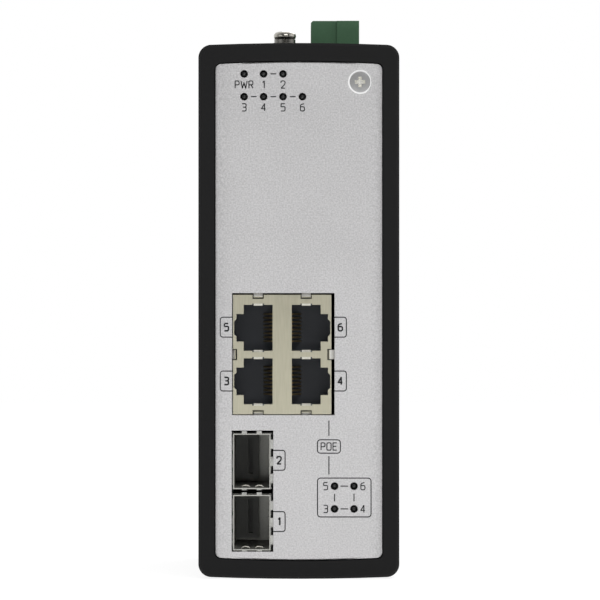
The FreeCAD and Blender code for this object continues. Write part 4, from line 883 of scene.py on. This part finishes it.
def make_screw(name, base, kind, radius, height, shank, length, drive="cross"):
    """A turned screw on the base's Z axis, its head's seat at 0, with a cross recess or a slot."""
    profile = [(0, -length), (shank - CHAMFER, -length), (shank, CHAMFER - length), (shank, 0)]
    profile += [(radius * u, height * v) for u, v in HEAD_SHAPES[kind]]
    profile.append((0, height))
    piece = mesh_object(name, lambda bm: lathe(bm, profile, base))
    above = height + CHAMFER

    def recess(bm):
        if drive == "cross":
            depth = height * CROSS_DEPTH + CHAMFER
            solid_prism(bm, cross_loop(radius, above), (0, 0, -depth), CROSS_TAPER)
        else:
            depth = height * SLOT_DEPTH + CHAMFER
            solid_prism(bm, slot_loop(radius, above), (0, 0, -depth))
        bmesh.ops.transform(bm, matrix=base, verts=bm.verts)

    cut_away(piece, mesh_object("recess", recess))
    # Faces in the recess take the piece's second finish: painted shade in most recesses, a painted highlight
    # in the panel screw's
    to_base = base.inverted()
    for polygon in piece.data.polygons:
        place = to_base @ polygon.center
        inside = math.hypot(place.x, place.y) < radius * CROSS_REACH
        polygon.material_index = 1 if inside and 0 < place.z < height * RECESS_TOP else 0
    return piece


def join(name, pieces):
    """One object from several, which are removed."""

    def build(bm):
        for piece in pieces:
            bm.from_mesh(piece.data)

    whole = mesh_object(name, build)
    for piece in pieces:
        bpy.data.objects.remove(piece)
    return whole


def make_screws():
    """Turned screws in place of the plain ones."""
    low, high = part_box("panel_screw")
    place = middle("panel_screw")
    radius = (high.x - low.x) / 2
    head = radius - SHANK
    base = Matrix.Translation((place.x, low.y + head, place.z)) @ TO_FRONT
    length = high.y - low.y - head
    piece = make_screw("panel_screw_turned", base, "countersunk", radius, head, SHANK, length)
    # The panel screw's recess takes the lighter nickel, a painted highlight
    add_piece(piece, ["satin", "finger"], "screw", "panel_screw")

    low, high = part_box("ground_screw")
    place = middle("ground_screw")
    radius = (high.x - low.x) / 2
    base = Matrix.Translation((place.x, place.y, high.z - ROUND_HEAD))
    length = high.z - low.z - ROUND_HEAD
    piece = make_screw("ground_screw_turned", base, "round", radius, ROUND_HEAD, SHANK, length)
    # The ground screw's recess takes the dark washer steel, painted shade
    add_piece(piece, ["stud", "washer"], "screw", "ground_screw")

    for node in ("rear_screws", "clip_screws"):
        made = []
        for i, (low, high) in enumerate(islands(node)):
            x = (low.x + high.x) / 2
            z = (low.z + high.z) / 2
            radius = (high.x - low.x) / 2
            base = Matrix.Translation((x, high.y - PAN_HEAD, z)) @ TO_BACK
            length = high.y - low.y - PAN_HEAD
            made.append(make_screw(f"{node}_{i}", base, "pan", radius, PAN_HEAD, SHANK, length))
        # The recesses take the darker, duller ferrite finish, painted shade
        add_piece(join(f"{node}_turned", made), ["black_screw", "ferrite"], "black_screw", node)

    made = []
    for i, (low, high) in enumerate(islands("plug_screws")):
        y = (low.y + high.y) / 2
        z = (low.z + high.z) / 2
        radius = (high.z - low.z) / 2
        base = Matrix.Translation((low.x + CLAMP_HEAD, y, z)) @ TO_LEFT
        length = high.x - low.x - CLAMP_HEAD
        name = f"plug_screw_{i}"
        made.append(make_screw(name, base, "cheese", radius, CLAMP_HEAD, CLAMP_SHANK, length, "slot"))
    # The slots take the darker satin steel, painted shade
    add_piece(join("plug_screws_turned", made), ["bright", "satin"], "screw", "plug_screws")


# Stage
def larger(tree, first, second):
    """Output that is the larger of two values."""
    return add_node(tree, "ShaderNodeMath", {0: first, 1: second}, operation="MAXIMUM").outputs["Value"]


def light_path(tree, names):
    """1 for rays of any of the named kinds."""
    path = add_node(tree, "ShaderNodeLightPath")
    total = path.outputs[names[0]]
    for name in names[1:]:
        total = larger(tree, total, path.outputs[name])
    return total


def make_world():
    """White background; mirrors also see it, and the dimmer room on the camera's side of the object."""
    world = bpy.data.worlds.new("studio")
    bpy.context.scene.world = world
    world.use_nodes = True
    tree = world.node_tree
    tree.nodes.clear()
    way = add_node(tree, "ShaderNodeTexCoord").outputs["Generated"]
    depth = add_node(tree, "ShaderNodeSeparateXYZ", {"Vector": way}).outputs["Y"]
    near, far = ROOM_DEPTHS
    room = {"Value": depth, "From Min": near, "From Max": far, "To Min": ROOM, "To Max": 1.0}
    level = add_node(tree, "ShaderNodeMapRange", room).outputs["Result"]
    strength = larger(tree, level, light_path(tree, ("Is Camera Ray",)))
    white = add_node(tree, "ShaderNodeBackground", {"Color": WHITE, "Strength": strength})
    ambient = add_node(tree, "ShaderNodeBackground", {"Color": WHITE, "Strength": AMBIENT})
    seen = light_path(tree, BACKGROUND_RAYS)
    sides = {0: seen, 1: ambient.outputs["Background"], 2: white.outputs["Background"]}
    mix = add_node(tree, "ShaderNodeMixShader", sides)
    add_node(tree, "ShaderNodeOutputWorld", {"Surface": mix.outputs["Shader"]})


def make_floor():
    """Floor that looks white where nothing shades it, and is plain grey for the light it gives back."""
    half = FLOOR_SIZE / 2
    corners = ((-half, -half, 0), (half, -half, 0), (half, half, 0), (-half, half, 0))
    floor = mesh_object("floor", lambda bm: bm.faces.new([bm.verts.new(corner) for corner in corners]))
    material = bpy.data.materials.new("pale_floor")
    material.use_nodes = True
    tree = material.node_tree
    tree.nodes.clear()
    plain = add_node(tree, "ShaderNodeBsdfDiffuse", {"Color": FLOOR_COLOR})
    share = (1 - FLOOR_GLOW) / AMBIENT
    lit = add_node(tree, "ShaderNodeBsdfDiffuse", {"Color": (share, share, share, 1)})
    glow = add_node(tree, "ShaderNodeEmission", {"Color": WHITE, "Strength": FLOOR_GLOW})
    pale = add_node(tree, "ShaderNodeAddShader", {0: lit.outputs["BSDF"], 1: glow.outputs["Emission"]})
    seen = light_path(tree, BACKGROUND_RAYS)
    sides = {0: seen, 1: plain.outputs["BSDF"], 2: pale.outputs["Shader"]}
    mix = add_node(tree, "ShaderNodeMixShader", sides)
    add_node(tree, "ShaderNodeOutputMaterial", {"Surface": mix.outputs["Shader"]})
    floor.data.materials.append(material)


def add_light(name, place, size, power):
    """Soft rectangular light aimed at the middle of the object."""
    data = bpy.data.lights.new(name, "AREA")
    data.shape = "RECTANGLE"
    data.size, data.size_y = size
    data.energy = power
    light = new_object(name, data)
    light.location = place
    aim = Vector((0, 0, CAMERA_Z)) - light.location
    light.rotation_euler = aim.to_track_quat("-Z", "Y").to_euler()


def make_camera():
    """Camera in front of the object, at the photograph's height."""
    data = bpy.data.cameras.new("camera")
    data.sensor_fit = "HORIZONTAL"
    data.sensor_width = SENSOR_WIDTH
    data.lens = SENSOR_WIDTH * CAMERA_DISTANCE / VIEW_WIDTH
    data.clip_end = CAMERA_CLIP
    camera = new_object("camera", data)
    camera.location = (CAMERA_X, FRONT - CAMERA_DISTANCE, CAMERA_Z)
    camera.rotation_euler = (math.radians(90), 0, 0)
    bpy.context.scene.camera = camera


bpy.context.scene.view_settings.view_transform = "Standard"
paint_nodes()
# The panel's second finish paints a highlight around its screw
add_piece(panel, ["panel", "cut"], "panel", "front_panel", angle=PANEL_SHARP_ANGLE)
panel.modifiers.new("flat_first", "WEIGHTED_NORMAL").keep_sharp = True
add_piece(mesh_object("panel_numbers", print_numbers), ["ink"], "bezel")
add_piece(mesh_object("panel_lines", print_lines), ["ink"], "bezel")
make_shield()
make_collars()
make_catches()
make_lamps()
make_screws()
make_world()
make_floor()
for light_row in LIGHTS:
    add_light(*light_row)
make_camera()
